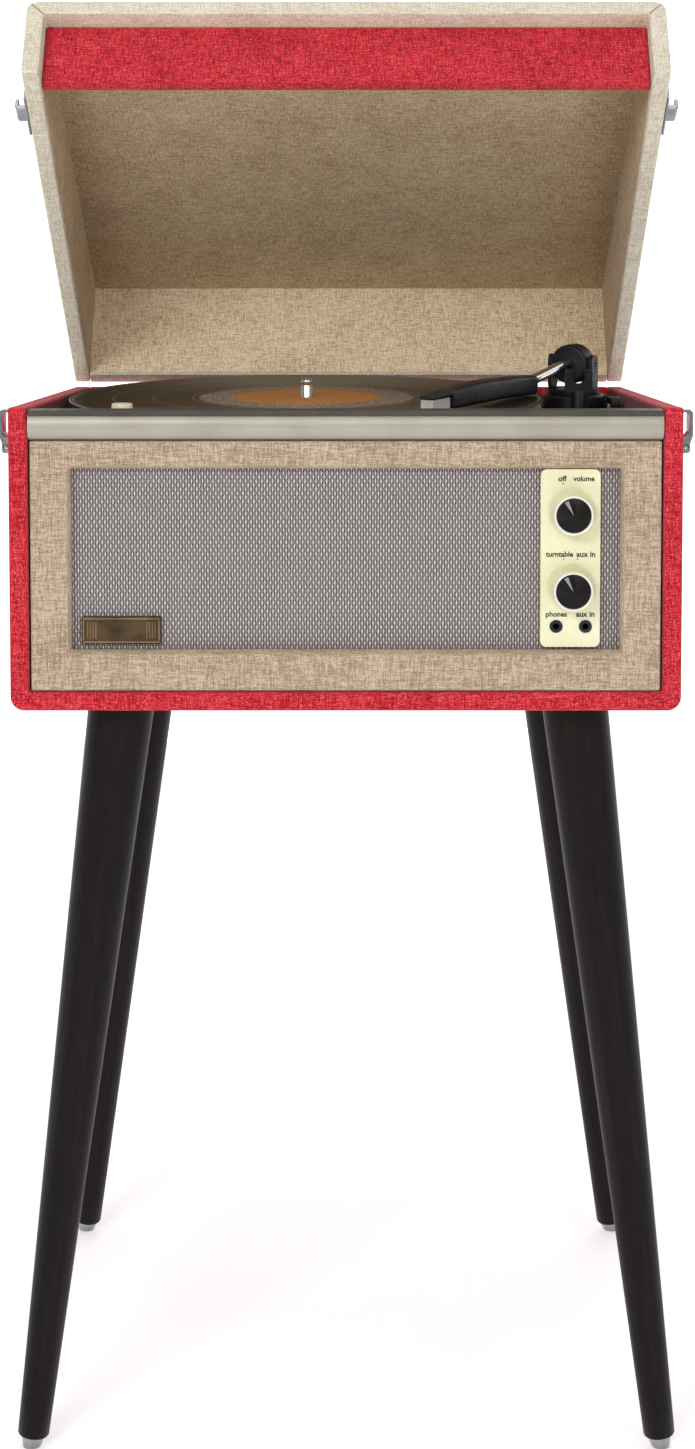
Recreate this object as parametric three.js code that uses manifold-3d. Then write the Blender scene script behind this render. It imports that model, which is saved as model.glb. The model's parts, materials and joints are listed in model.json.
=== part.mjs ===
// A suitcase record player that stands on four splayed legs: a red cloth-covered case with a cream
// front, a belt-driven turntable in its top, and a cream lid that opens on two hinges at the rear.
//
// Millimetres, +Z up. While the pieces are laid out, X = 0 is the middle of the case, Y = 0 is the
// plane of its front edges with +Y to the rear, and Z = 0 is its underside. At the end the whole
// object is moved, so that the origin is on the floor below the middle of its bounding box.
// The lid is open.
import * as THREE from "three";
import { mergeVertices } from "three/addons/utils/BufferGeometryUtils.js";
import Module from "manifold-3d";

const wasm = await Module();
wasm.setup();

// ---------------------------------------------------------------- driving dimensions

const GAP = 0.3; // between pieces that touch
const rad = THREE.MathUtils.degToRad;

// Case
const CASE_W = 384;
const CASE_D = 348;
const CASE_FRONT_TOP = 174.5;
const CASE_REAR_TOP = 152.8;
const WALL = 10.8;
const CASE_CORNER = 8;
const CASE_X = CASE_W / 2;
const INNER_X = CASE_X - WALL;
const SPLIT_ANGLE = Math.atan((CASE_FRONT_TOP - CASE_REAR_TOP) / CASE_D);

// Front: baffle with its opening, grille, trim, control plate
const BAFFLE = { x: 180, y: 1.5, thick: 8, z0: 11.4, z1: 155.2 };
const OPENING = { x: 157, z0: 34.4, z1: 139.1 };
const CLOTH_Y = BAFFLE.y + BAFFLE.thick + GAP;
const CLOTH_T = 1.4;
const BOARD_Y = CLOTH_Y + CLOTH_T + GAP;
const BOARD_T = 6;
const TRIM = { y0: -1.5, flatY: 5, y1: 11.7, z0: 155.6, z1: 172.3 };
const PLATE = { x0: 111.4, x1: 145.5, y: 5, z0: 36.2, z1: 138.7, corner: 3.5 };
const BADGE = { x0: -151.6, x1: -106, y: 7, z0: 37.5, z1: 53.3 };
const CONTROL_X = 129.2;
const VOLUME_Z = 114;
const SELECTOR_Z = 70.5;
const JACK_Z = 48.2;
const PHONES_X = 120.4;
const AUX_X = 137.2;
const JACK_R = 3.65;
const SHAFT_R = 3;
const CONTROL_REAR_Y = BOARD_Y + BOARD_T + GAP;
const SPEAKER = { leftX: -95, rightX: 50, z: 86, holeR: 38 };

// Turntable
const DECK_TOP = 149;
const DECK_T = 3;
const SPINDLE = { x: -26, y: 182, r: 3.55, top: 174.8 };
const RECORD = { r: 151, thick: 1.8, top: 162.6 };
const MAT = { r: 144, thick: 1.2, top: RECORD.top - RECORD.thick - GAP };
const PLATTER = { r: 145, top: MAT.top - MAT.thick - GAP, thick: 3, bore: 3.85 };
const HUB = { r: 60, z0: 151.2 };
const PULLEY = { r: 4, distance: 78, angle: rad(135) };
const BELT = { thick: 0.8, z0: 151.8, z1: 154.6 };
const SPEED_KNOB = { x: -131, y: 45, r0: 8, r1: 5.9, top: 172.3 };

// Tonearm: X' runs along the arm from its pivot to its head
const PIVOT = { x: 149.5, y: 250, z: 177.7 };
const ARM_ANGLE = rad(241.2);
const DRUM_R = 13;
const CHEEK = { y0: DRUM_R + 0.4, y1: DRUM_R + 3, half: 5, top: 184 };
const TURRET_R = 17;
const BASE_R = 21;
const BASE_TOP = 158;
const TUBE = { r: 3.35, x0: 8.5, z0: 179.2, x1: 79, z1: 169.8 };
const HEAD = { x0: 68, x1: 212, floor: 164.5, rearFloor: 163.2, step: 187.5, ledge: 172.4 };
const STYLUS_X = 203;
const REST = { x: PIVOT.x, y: 205, half: 8.7, slot: 4, z0: 163, slotZ: 168.5, top: 177.9 };

// Lid, in its own frame: the origin is the hinge axis, Y' runs along the rim and Z' away from it
const HINGE = { y: 351, z: 153.36, x: 110, half: 20, knuckle: 2.5, pin: 1.2 };
const LEAF = { y0: -2.7, y1: -1.4, near: 2.9, far: 22 };
const LID_OPEN = rad(33.6);
const LID_L = CASE_D / Math.cos(SPLIT_ANGLE);
const LID_REAR_Y = -3;
const LID_FRONT_Y = LID_REAR_Y - LID_L;
const RIM_Z = 0.75;
const LID_FRONT_H = 54;
const LID_REAR_H = 83;
const LID_WALL = 10.4;
const LID_TOP_T = 9.6;
const LID_CORNER = 7;
const LID_INNER_X = CASE_X - LID_WALL;
const FASCIA = { setBack: 14, thick: 8.8, lift: 3.2 };
const LID_SLOPE = (LID_REAR_H - LID_FRONT_H) / LID_L;

// Latches
const LATCH_Y = 47;
const LATCH = { half: 9, pivotX: 198, pivotZ: 148, outX: 202.3 };

// Legs
const LEG = { height: 444.5, topX: 132, footX: 186, topR: 19.5, footR: 9.2 };
const GLIDE = { h: 7, r: 6.4, tipR: 5 };
const LEG_FRONT = { topY: 45, footY: 18.7 };
const LEG_REAR = { topY: CASE_D - 53, footY: 321.3 };

// ---------------------------------------------------------------- materials

function finish(color, roughness, metalness) {
  return new THREE.MeshStandardMaterial({ color, roughness, metalness });
}

const redCloth = finish(0xd9283f, 0.85, 0);
const creamCloth = finish(0xcdc4ab, 0.85, 0);
const frontCloth = finish(0xc3ac8d, 0.85, 0);
const grilleFabric = finish(0x968c8c, 0.8, 0);
const ivoryPlastic = finish(0xe0dfb8, 0.35, 0);
const champagne = finish(0xafaa9e, 0.35, 0.7);
const bronze = finish(0x5b4c38, 0.4, 0.8);
const blackPlastic = finish(0x17181a, 0.45, 0);
const vinyl = finish(0x0e0d0c, 0.3, 0);
const felt = finish(0x23221f, 0.95, 0);
const chrome = finish(0xd5d7da, 0.12, 1);
const steel = finish(0x9a9c9e, 0.35, 0.9);
const darkWood = finish(0x2a2420, 0.4, 0);
const fibreboard = finish(0x8a6a48, 0.8, 0);
const circuitGreen = finish(0x1d5a38, 0.5, 0);
const rubber = finish(0x111111, 0.9, 0);
const paleCartridge = finish(0xd8d2d0, 0.4, 0);

// ---------------------------------------------------------------- solids

// A closed geometry as a manifold solid.
function solid(geometry) {
  const bare = geometry.clone();
  bare.deleteAttribute("normal");
  bare.deleteAttribute("uv");
  const merged = mergeVertices(bare, 1e-4);
  const vertProperties = merged.attributes.position.array;
  const triVerts = new Uint32Array(merged.index.array);
  return new wasm.Manifold(new wasm.Mesh({ numProp: 3, vertProperties, triVerts }));
}

// A manifold solid as a geometry with flat faces.
function geometryOf(made) {
  const mesh = made.getMesh();
  const geometry = new THREE.BufferGeometry();
  geometry.setAttribute("position", new THREE.BufferAttribute(mesh.vertProperties, 3));
  geometry.setIndex(new THREE.BufferAttribute(mesh.triVerts, 1));
  const flat = geometry.toNonIndexed();
  flat.computeVertexNormals();
  return flat;
}

function join(first, ...others) {
  const made = others.reduce((sum, other) => sum.add(solid(other)), solid(first));
  return geometryOf(made);
}

function cut(first, ...tools) {
  const made = tools.reduce((rest, tool) => rest.subtract(solid(tool)), solid(first));
  return geometryOf(made);
}

function common(first, second) {
  return geometryOf(solid(first).intersect(solid(second)));
}

function box(x0, x1, y0, y1, z0, z1) {
  const geometry = new THREE.BoxGeometry(x1 - x0, y1 - y0, z1 - z0);
  return geometry.translate((x0 + x1) / 2, (y0 + y1) / 2, (z0 + z1) / 2);
}

// A profile of [radius, height] points turned about the Z axis. It ends on the axis at both ends,
// or it is a ring's section, given without repeating its first point. Points run counterclockwise.
function turned(profile, sides) {
  const onAxis = profile[0][0] === 0;
  const points = onAxis ? profile : [...profile, profile[0]];
  const geometry = new THREE.LatheGeometry(points.map(([r, h]) => new THREE.Vector2(r, h)), sides);
  return geometry.rotateX(Math.PI / 2);
}

// The same, about an axis along Y that points to the front: heights are distances towards the front.
function turnedToFront(profile, sides) {
  return turned(profile, sides).rotateX(Math.PI / 2);
}

// A cylinder of radius r about the Z axis.
function rod(r, z0, z1, sides = 24) {
  return turned([[0, z0], [r, z0], [r, z1], [0, z1]], sides);
}

function outline(points) {
  return new THREE.Shape(points.map(([a, b]) => new THREE.Vector2(a, b)));
}

function roundedOutline(a0, a1, b0, b1, r) {
  const shape = new THREE.Shape();
  shape.absarc(a1 - r, b1 - r, r, 0, Math.PI / 2);
  shape.absarc(a0 + r, b1 - r, r, Math.PI / 2, Math.PI);
  shape.absarc(a0 + r, b0 + r, r, Math.PI, 1.5 * Math.PI);
  shape.absarc(a1 - r, b0 + r, r, 1.5 * Math.PI, 2 * Math.PI);
  return shape;
}

function withHoles(shape, holes) {
  for (const [a, b, r] of holes) shape.holes.push(new THREE.Path().absarc(a, b, r, 0, 2 * Math.PI));
  return shape;
}

function extruded(shape, depth, curveSegments = 6) {
  return new THREE.ExtrudeGeometry(shape, { depth, bevelEnabled: false, curveSegments });
}

// A (y, z) outline extruded from x0 to x1.
function alongX(shape, x0, x1, segments) {
  const turn = new THREE.Matrix4().makeBasis(
    new THREE.Vector3(0, 1, 0),
    new THREE.Vector3(0, 0, 1),
    new THREE.Vector3(1, 0, 0),
  );
  return extruded(shape, x1 - x0, segments).applyMatrix4(turn).translate(x0, 0, 0);
}

// An (x, z) outline extruded from y0 to y1.
function alongY(shape, y0, y1, segments) {
  return extruded(shape, y1 - y0, segments).rotateX(Math.PI / 2).translate(0, y1, 0);
}

// An (x, y) outline extruded from z0 to z1.
function alongZ(shape, z0, z1, segments) {
  return extruded(shape, z1 - z0, segments).translate(0, 0, z0);
}

function mirroredX(geometry) {
  const made = solid(geometry).mirror([1, 0, 0]);
  return geometryOf(made);
}

const player = new THREE.Group();
const lidGroup = new THREE.Group();
lidGroup.position.set(0, HINGE.y, HINGE.z);
lidGroup.rotation.x = -(SPLIT_ANGLE + LID_OPEN);
player.add(lidGroup);
const armGroup = new THREE.Group();
armGroup.position.set(PIVOT.x, PIVOT.y, 0);
armGroup.rotation.z = ARM_ANGLE;
player.add(armGroup);

function addTo(group, name, geometry, material) {
  const mesh = new THREE.Mesh(geometry, material);
  mesh.name = name;
  group.add(mesh);
  return mesh;
}

function add(name, geometry, material) {
  return addTo(player, name, geometry, material);
}

// ---------------------------------------------------------------- case

function caseTopAt(y) {
  return CASE_FRONT_TOP - y * Math.tan(SPLIT_ANGLE);
}

// The boards meet with a small gap. The lower outside edges of the sides are rounded.
function buildCase() {
  const sideOutline = outline([
    [0, 0],
    [CASE_D, 0],
    [CASE_D, CASE_REAR_TOP],
    [0, CASE_FRONT_TOP],
  ]);
  const rounded = roundedOutline(-CASE_X, CASE_X, 0, CASE_FRONT_TOP + 50, CASE_CORNER);
  const side = common(alongX(sideOutline, INNER_X, CASE_X), alongY(rounded, -1, CASE_D + 1));
  add("case_right_side", side, redCloth);
  add("case_left_side", mirroredX(side), redCloth);

  const x = INNER_X - GAP;
  add("case_bottom", box(-x, x, 0, CASE_D, 0, WALL), redCloth);

  const rearY = CASE_D - WALL;
  const rearOutline = outline([
    [rearY, WALL + GAP],
    [CASE_D, WALL + GAP],
    [CASE_D, CASE_REAR_TOP],
    [rearY, caseTopAt(rearY)],
  ]);
  const socketHole = box(35, 105, rearY - 1, CASE_D + 1, 39, 61);
  add("case_rear_panel", cut(alongX(rearOutline, -x, x), socketHole), redCloth);
}

// Power inlet and two line outputs, on a plate over the hole in the rear panel.
function buildConnectorPlate() {
  const y = CASE_D + GAP;
  const plate = alongY(roundedOutline(28, 112, 32, 68, 3), y, y + 2);
  const barrel = [[1.7, -6], [4.1, -6], [4.1, 8], [1.7, 8]];
  const outputs = [75, 95].map((x) => turnedToFront(barrel, 12).rotateZ(Math.PI).translate(x, y + 2, 50));
  const inletRing = [[3.1, -8], [5.6, -8], [5.6, 2.5], [3.1, 2.5]];
  const inlet = turnedToFront(inletRing, 12).rotateZ(Math.PI).translate(48, y + 2, 50);
  const bores = [[75, 1.7], [95, 1.7], [48, 3.1]].map(([x, r]) => {
    return rod(r, -20, 20, 12).rotateX(Math.PI / 2).translate(x, y, 50);
  });
  add("rear_connector_plate", cut(join(plate, ...outputs, inlet), ...bores), blackPlastic);
}

// ---------------------------------------------------------------- front

function controlHoles(r, jackR) {
  return [
    [CONTROL_X, VOLUME_Z, r],
    [CONTROL_X, SELECTOR_Z, r],
    [PHONES_X, JACK_Z, jackR],
    [AUX_X, JACK_Z, jackR],
  ];
}

function buildFront() {
  const frame = alongY(
    outline([
      [-BAFFLE.x, BAFFLE.z0],
      [BAFFLE.x, BAFFLE.z0],
      [BAFFLE.x, BAFFLE.z1],
      [-BAFFLE.x, BAFFLE.z1],
    ]),
    BAFFLE.y,
    BAFFLE.y + BAFFLE.thick,
  );
  const window = box(-OPENING.x, OPENING.x, -5, 20, OPENING.z0, OPENING.z1);
  add("front_baffle", cut(frame, window), frontCloth);

  const cloth = roundedOutline(-OPENING.x - 6, OPENING.x + 6, OPENING.z0 - 6, OPENING.z1 + 6, 2);
  const clothShape = withHoles(cloth, controlHoles(4.5, 4.5));
  add("grille_cloth", alongY(clothShape, CLOTH_Y, CLOTH_Y + CLOTH_T), grilleFabric);

  const board = roundedOutline(-OPENING.x - 12, OPENING.x + 12, OPENING.z0 - 12, OPENING.z1 + 5, 2);
  const speakerHoles = [SPEAKER.leftX, SPEAKER.rightX].map((x) => [x, SPEAKER.z, SPEAKER.holeR]);
  const boardShape = withHoles(board, [...controlHoles(4.5, 4.5), ...speakerHoles]);
  add("grille_board", alongY(boardShape, BOARD_Y, BOARD_Y + BOARD_T, 9), fibreboard);

  const plateShape = roundedOutline(PLATE.x0, PLATE.x1, PLATE.z0, PLATE.z1, PLATE.corner);
  const plate = withHoles(plateShape, controlHoles(4, JACK_R + GAP));
  add("control_plate", alongY(plate, PLATE.y, CLOTH_Y - GAP), ivoryPlastic);

  const badge = roundedOutline(BADGE.x0, BADGE.x1, BADGE.z0, BADGE.z1, 1);
  add("name_plate", alongY(badge, BADGE.y, CLOTH_Y - GAP, 2), bronze);
}

// Half-round strip along the top of the front, flat behind.
function buildTrim() {
  const middle = (TRIM.z0 + TRIM.z1) / 2;
  const nose = new THREE.Shape();
  nose.moveTo(TRIM.y1, TRIM.z0);
  nose.lineTo(TRIM.y1, TRIM.z1);
  nose.lineTo(TRIM.flatY, TRIM.z1);
  nose.absellipse(
    TRIM.flatY,
    middle,
    TRIM.flatY - TRIM.y0,
    TRIM.z1 - middle,
    Math.PI / 2,
    1.5 * Math.PI,
    false,
  );
  add("front_trim", alongX(nose, -INNER_X + GAP, INNER_X - GAP, 12), champagne);
}

// Flange, open cone, basket and magnet, behind the grille board.
function buildSpeakers() {
  const profile = [
    [0, -34],
    [24, -34],
    [24, -20],
    [28, -20],
    [38, -2.6],
    [44, -2.4],
    [44, 0],
    [37, 0],
    [36, -1.2],
    [12, -14],
    [0, -14],
  ];
  for (const [sideName, x] of [["left", SPEAKER.leftX], ["right", SPEAKER.rightX]]) {
    const speaker = turnedToFront(profile, 24).translate(x, CONTROL_REAR_Y, SPEAKER.z);
    add("speaker_" + sideName, speaker, blackPlastic);
  }
}

// A potentiometer or switch body, with a blind hole for the knob's shaft.
function buildControlBody(name, z) {
  const bore = SHAFT_R + GAP;
  const profile = [[0, -12], [8, -12], [8, 0], [bore, 0], [bore, -4.5], [0, -4.5]];
  add(name, turnedToFront(profile, 20).translate(CONTROL_X, CONTROL_REAR_Y, z), steel);
}

// A threaded sleeve through the plate, with a body behind the board.
function buildJack(name, x) {
  const front = CONTROL_REAR_Y - PLATE.y + 1.2;
  const profile = [
    [0, -12],
    [5.5, -12],
    [5.5, 0],
    [JACK_R, 0],
    [JACK_R, front],
    [1.8, front],
    [1.8, -6],
    [0, -6],
  ];
  add(name, turnedToFront(profile, 20).translate(x, CONTROL_REAR_Y, JACK_Z), blackPlastic);
}

// The knob's skirt tapers to its face. Its shaft reaches into the control behind the board.
function buildKnob(name, z) {
  const back = PLATE.y - 0.4;
  const length = 14.6;
  const shaft = CONTROL_REAR_Y + 4 - back;
  const profile = [
    [0, -shaft],
    [SHAFT_R, -shaft],
    [SHAFT_R, 0],
    [13.5, 0],
    [13.5, 1.2],
    [11.3, length - 0.6],
    [10.7, length],
    [0, length],
  ];
  add(name, turnedToFront(profile, 36).translate(CONTROL_X, back, z), ivoryPlastic);
}

function buildControls() {
  buildControlBody("volume_potentiometer", VOLUME_Z);
  buildControlBody("selector_switch", SELECTOR_Z);
  buildJack("phones_jack", PHONES_X);
  buildJack("aux_jack", AUX_X);
  buildKnob("volume_knob", VOLUME_Z);
  buildKnob("selector_knob", SELECTOR_Z);
  const y = CONTROL_REAR_Y + 12 + GAP;
  const board = box(100, 168, y, y + 1.6, 29, 136);
  const heatSink = box(104, 112, y + 1.5, y + 22, 44, 119);
  const capacitor = rod(8, 0, 20, 16).rotateX(-Math.PI / 2).translate(130, y + 1.5, 106);
  const transformer = box(124, 156, y + 1.5, y + 24, 44, 74);
  add("amplifier_board", join(board, heatSink, capacitor, transformer), circuitGreen);
}

// ---------------------------------------------------------------- turntable

function pulleyCentre() {
  return {
    x: SPINDLE.x + PULLEY.distance * Math.cos(PULLEY.angle),
    y: SPINDLE.y + PULLEY.distance * Math.sin(PULLEY.angle),
  };
}

function buildDeck() {
  const { x: px, y: py } = pulleyCentre();
  const x = INNER_X - GAP;
  const y0 = TRIM.y1 + GAP;
  const shape = outline([
    [-x, y0],
    [x, y0],
    [x, CASE_D - WALL - GAP],
    [-x, CASE_D - WALL - GAP],
  ]);
  withHoles(shape, [
    [SPINDLE.x, SPINDLE.y, SPINDLE.r + GAP],
    [px, py, 8],
    [SPEED_KNOB.x, SPEED_KNOB.y, SHAFT_R + GAP],
  ]);
  add("deck_plate", alongZ(shape, DECK_TOP - DECK_T, DECK_TOP, 12), blackPlastic);

  const housingTop = DECK_TOP - DECK_T - GAP;
  const spindle = [
    [0, housingTop - 8],
    [14, housingTop - 8],
    [14, housingTop],
    [SPINDLE.r, housingTop],
    [SPINDLE.r, SPINDLE.top - 1.5],
    [SPINDLE.r - 1.4, SPINDLE.top - 0.3],
    [0, SPINDLE.top],
  ];
  add("spindle", turned(spindle, 32).translate(SPINDLE.x, SPINDLE.y, 0), chrome);

  const motor = join(rod(17, 117, 141.4, 24), box(-22, 22, -6, 6, 139, 141.4));
  add("motor", motor.translate(px, py, 0), steel);

  const pulley = [
    [0, 141.7],
    [1.2, 141.7],
    [1.2, 150],
    [PULLEY.r, 150],
    [PULLEY.r, 155],
    [0, 155],
  ];
  add("motor_pulley", turned(pulley, 20).translate(px, py, 0), steel);
}

// A disc on a wide hub, which the belt runs round, with a bore for the spindle.
function buildPlatter() {
  const { r, top, thick, bore } = PLATTER;
  const profile = [
    [bore, HUB.z0],
    [HUB.r, HUB.z0],
    [HUB.r, top - thick],
    [r, top - thick],
    [r, top - 1],
    [r - 1, top],
    [bore, top],
  ];
  add("platter", turned(profile, 40).translate(SPINDLE.x, SPINDLE.y, 0), steel);
}

function discProfile(r, thick, top) {
  return [
    [PLATTER.bore, top - thick],
    [r, top - thick],
    [r, top],
    [PLATTER.bore, top],
  ];
}

function buildRecord() {
  const mat = turned(discProfile(MAT.r, MAT.thick, MAT.top), 48);
  add("slipmat", mat.translate(SPINDLE.x, SPINDLE.y, 0), felt);
  const record = turned(discProfile(RECORD.r, RECORD.thick, RECORD.top), 64);
  add("record", record.translate(SPINDLE.x, SPINDLE.y, 0), vinyl);
}

// The outline of a belt around two pulleys, the second at (distance, 0).
function beltOutline(r1, r2, distance) {
  const contact = Math.acos((r1 - r2) / distance);
  const shape = new THREE.Path();
  shape.absarc(0, 0, r1, contact, 2 * Math.PI - contact);
  shape.absarc(distance, 0, r2, -contact, contact);
  return shape;
}

function buildBelt() {
  const inner = beltOutline(HUB.r + GAP, PULLEY.r + GAP, PULLEY.distance);
  const outer = beltOutline(HUB.r + GAP + BELT.thick, PULLEY.r + GAP + BELT.thick, PULLEY.distance);
  const shape = new THREE.Shape(outer.getPoints(14));
  shape.holes.push(new THREE.Path(inner.getPoints(14)));
  const belt = alongZ(shape, BELT.z0, BELT.z1).rotateZ(PULLEY.angle);
  add("drive_belt", belt.translate(SPINDLE.x, SPINDLE.y, 0), rubber);
}

// A tall tapered knob with a shaft through the deck.
function buildSpeedKnob() {
  const { x, y, r0, r1, top } = SPEED_KNOB;
  const profile = [
    [0, 136],
    [SHAFT_R, 136],
    [SHAFT_R, DECK_TOP + GAP],
    [r0, DECK_TOP + GAP],
    [r1, top - 0.8],
    [r1 - 0.8, top],
    [0, top],
  ];
  add("speed_knob", turned(profile, 28).translate(x, y, 0), ivoryPlastic);
}

// ---------------------------------------------------------------- tonearm

// Round base on the deck, with a lug on its right for the cue lever.
function buildTonearmBase() {
  const z0 = DECK_TOP + GAP;
  const round = turned(
    [[0, z0], [BASE_R, z0], [BASE_R, BASE_TOP - 1.5], [BASE_R - 1.5, BASE_TOP], [0, BASE_TOP]],
    32,
  );
  const lug = box(BASE_R - 4, BASE_R + 1.6, -6, 6, z0, BASE_TOP - 1);
  const pinHole = rod(1.6, BASE_R - 3, BASE_R + 3, 12).rotateY(Math.PI / 2).translate(0, 0, 154);
  add("tonearm_base", cut(join(round, lug), pinHole).translate(PIVOT.x, PIVOT.y, 0), blackPlastic);
}

function buildCueLever() {
  const x0 = BASE_R + 2;
  const arm = alongX(roundedOutline(-34, 3.5, 152, 156, 1.8), x0, x0 + 3.5, 4);
  const grip = alongX(roundedOutline(-38, -29, 152, 158.5, 2), x0 - 1, x0 + 5, 4);
  const pin = rod(1.3, BASE_R - 2, x0 + 1, 12).rotateY(Math.PI / 2).translate(0, 0, 154);
  add("cue_lever", join(arm, grip, pin).translate(PIVOT.x, PIVOT.y, 0), blackPlastic);
}

// A U-shaped cradle on a post, where the arm is parked.
function buildArmRest() {
  const { x, y, half, slot, z0, slotZ, top } = REST;
  const post = rod(5.2, DECK_TOP + GAP, z0 + 1, 20).translate(x, y, 0);
  const block = alongY(roundedOutline(x - half, x + half, z0, top, 2), y - 4, y + 4, 4);
  const groove = alongY(roundedOutline(x - slot, x + slot, slotZ, top + 20, slot - 0.1), y - 5, y + 5, 6);
  add("arm_rest", cut(join(post, block), groove), blackPlastic);
}

// A disc with two cheeks that hold the arm's cross pins. It turns on the base.
function buildTurret() {
  const z0 = BASE_TOP + GAP;
  const disc = rod(TURRET_R, z0, z0 + 3, 32);
  const { y0, y1, half, top } = CHEEK;
  const cheek = roundedOutline(-half, half, z0 + 2, top, 4.5);
  const pinHole = rod(1.9, -30, 30, 12).rotateX(Math.PI / 2).translate(0, 0, PIVOT.z);
  const made = join(disc, alongY(cheek, y0, y1, 5), alongY(cheek, -y1, -y0, 5));
  addTo(armGroup, "tonearm_turret", cut(made, pinHole), blackPlastic);
}

// The round collar at the pivot, its two cross pins, and the drooping counterweight behind it.
function buildArmCollar() {
  const drum = turned(
    [[0, -7], [DRUM_R - 1.2, -7], [DRUM_R, -5.8], [DRUM_R, 6.8], [DRUM_R - 1.2, 8], [0, 8]],
    36,
  );
  const along = drum.rotateY(Math.PI / 2).translate(0, 0, PIVOT.z);
  const pins = rod(1.5, -CHEEK.y1 + 0.2, CHEEK.y1 - 0.2, 12).rotateX(Math.PI / 2).translate(0, 0, PIVOT.z);
  const tail = outline([
    [-5, 173],
    [-5, 182],
    [-11, 182],
    [-30, 168],
    [-26, 163],
  ]);
  addTo(armGroup, "tonearm_collar", join(along, pins, alongY(tail, -5.5, 5.5)), blackPlastic);
}

function tubeTilt() {
  return Math.atan2(TUBE.z1 - TUBE.z0, TUBE.x1 - TUBE.x0);
}

// A straight rod along the tube's line, from s0 to s1 past the tube's rear end.
function alongTube(r, s0, s1, sides) {
  const made = rod(r, s0, s1, sides).rotateY(Math.PI / 2);
  return made.rotateY(-tubeTilt()).translate(TUBE.x0, 0, TUBE.z0);
}

function buildArmTube() {
  const length = Math.hypot(TUBE.x1 - TUBE.x0, TUBE.z1 - TUBE.z0);
  addTo(armGroup, "tonearm_tube", alongTube(TUBE.r, 0, length, 20), chrome);
}

// The long head cover: a crowned side outline, narrowed in plan, with a step for the cartridge.
function buildHead() {
  const { x0, x1, floor, rearFloor, step, ledge } = HEAD;
  const sideShape = outline([
    [x0, rearFloor],
    [x0 + 50, floor],
    [step, floor],
    [step, ledge],
    [x1, ledge],
    [x1, 174.4],
    [190, 176.8],
    [146, 178.4],
    [105, 177.4],
    [x0, 175.6],
  ]);
  const planShape = outline([
    [x0, -6.5],
    [150, -7.5],
    [x1, -5],
    [x1, 5],
    [150, 7.5],
    [x0, 6.5],
  ]);
  const body = common(alongY(sideShape, -10, 10), alongZ(planShape, floor - 5, 184));
  const socket = alongTube(TUBE.r + GAP, 50, 71.5, 20);
  addTo(armGroup, "head_cover", cut(body, socket), blackPlastic);

  const shell = box(step + 1.5, x1 - 1, -4.2, 4.2, 165.6, ledge - GAP);
  const tip = [[0, RECORD.top + GAP], [0.5, RECORD.top + GAP], [1.6, 166], [0, 166]];
  const stylus = turned(tip, 12).translate(STYLUS_X, 0, 0);
  addTo(armGroup, "cartridge", join(shell, stylus), paleCartridge);
}

// ---------------------------------------------------------------- lid

function lidHeightAt(y) {
  return RIM_Z + LID_REAR_H + (y - LID_REAR_Y) * LID_SLOPE;
}

// A four-sided (y, z) outline that starts "lift" above the rim and stops "drop" short of the lid's top.
function lidPanelOutline(y0, y1, drop, lift = 0) {
  return outline([
    [y0, RIM_Z + lift],
    [y1, RIM_Z + lift],
    [y1, lidHeightAt(y1) - drop],
    [y0, lidHeightAt(y0) - drop],
  ]);
}

// Five boards and a red fascia. The top edges of the sides are rounded.
function buildLid() {
  const sideShape = lidPanelOutline(LID_FRONT_Y, LID_REAR_Y, 0);
  const envelope = alongY(roundedOutline(-CASE_X, CASE_X, -200, 0, LID_CORNER), -400, 50);
  envelope.rotateX(Math.atan(LID_SLOPE)).translate(0, LID_REAR_Y, lidHeightAt(LID_REAR_Y));
  const side = common(alongX(sideShape, LID_INNER_X, CASE_X), envelope);
  addTo(lidGroup, "lid_right_side", side, creamCloth);
  addTo(lidGroup, "lid_left_side", mirroredX(side), creamCloth);

  const x = LID_INNER_X - GAP;
  const topShape = outline([
    [LID_FRONT_Y, lidHeightAt(LID_FRONT_Y) - LID_TOP_T],
    [LID_REAR_Y, lidHeightAt(LID_REAR_Y) - LID_TOP_T],
    [LID_REAR_Y, lidHeightAt(LID_REAR_Y)],
    [LID_FRONT_Y, lidHeightAt(LID_FRONT_Y)],
  ]);
  addTo(lidGroup, "lid_top_panel", alongX(topShape, -x, x), creamCloth);

  const below = LID_TOP_T + GAP;
  const rearShape = lidPanelOutline(LID_REAR_Y - LID_WALL, LID_REAR_Y, below);
  addTo(lidGroup, "lid_rear_wall", alongX(rearShape, -x, x), creamCloth);

  const fasciaY = LID_FRONT_Y + FASCIA.setBack;
  const fasciaShape = lidPanelOutline(fasciaY, fasciaY + FASCIA.thick, below, FASCIA.lift);
  addTo(lidGroup, "lid_front_panel", alongX(fasciaShape, -x, x), redCloth);
}

// ---------------------------------------------------------------- hinges

// Each leaf is a flat plate near the axis, with barrels joined to it by webs.

function knuckle(x0, x1) {
  return rod(HINGE.knuckle, x0, x1, 16).rotateY(Math.PI / 2);
}

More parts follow.
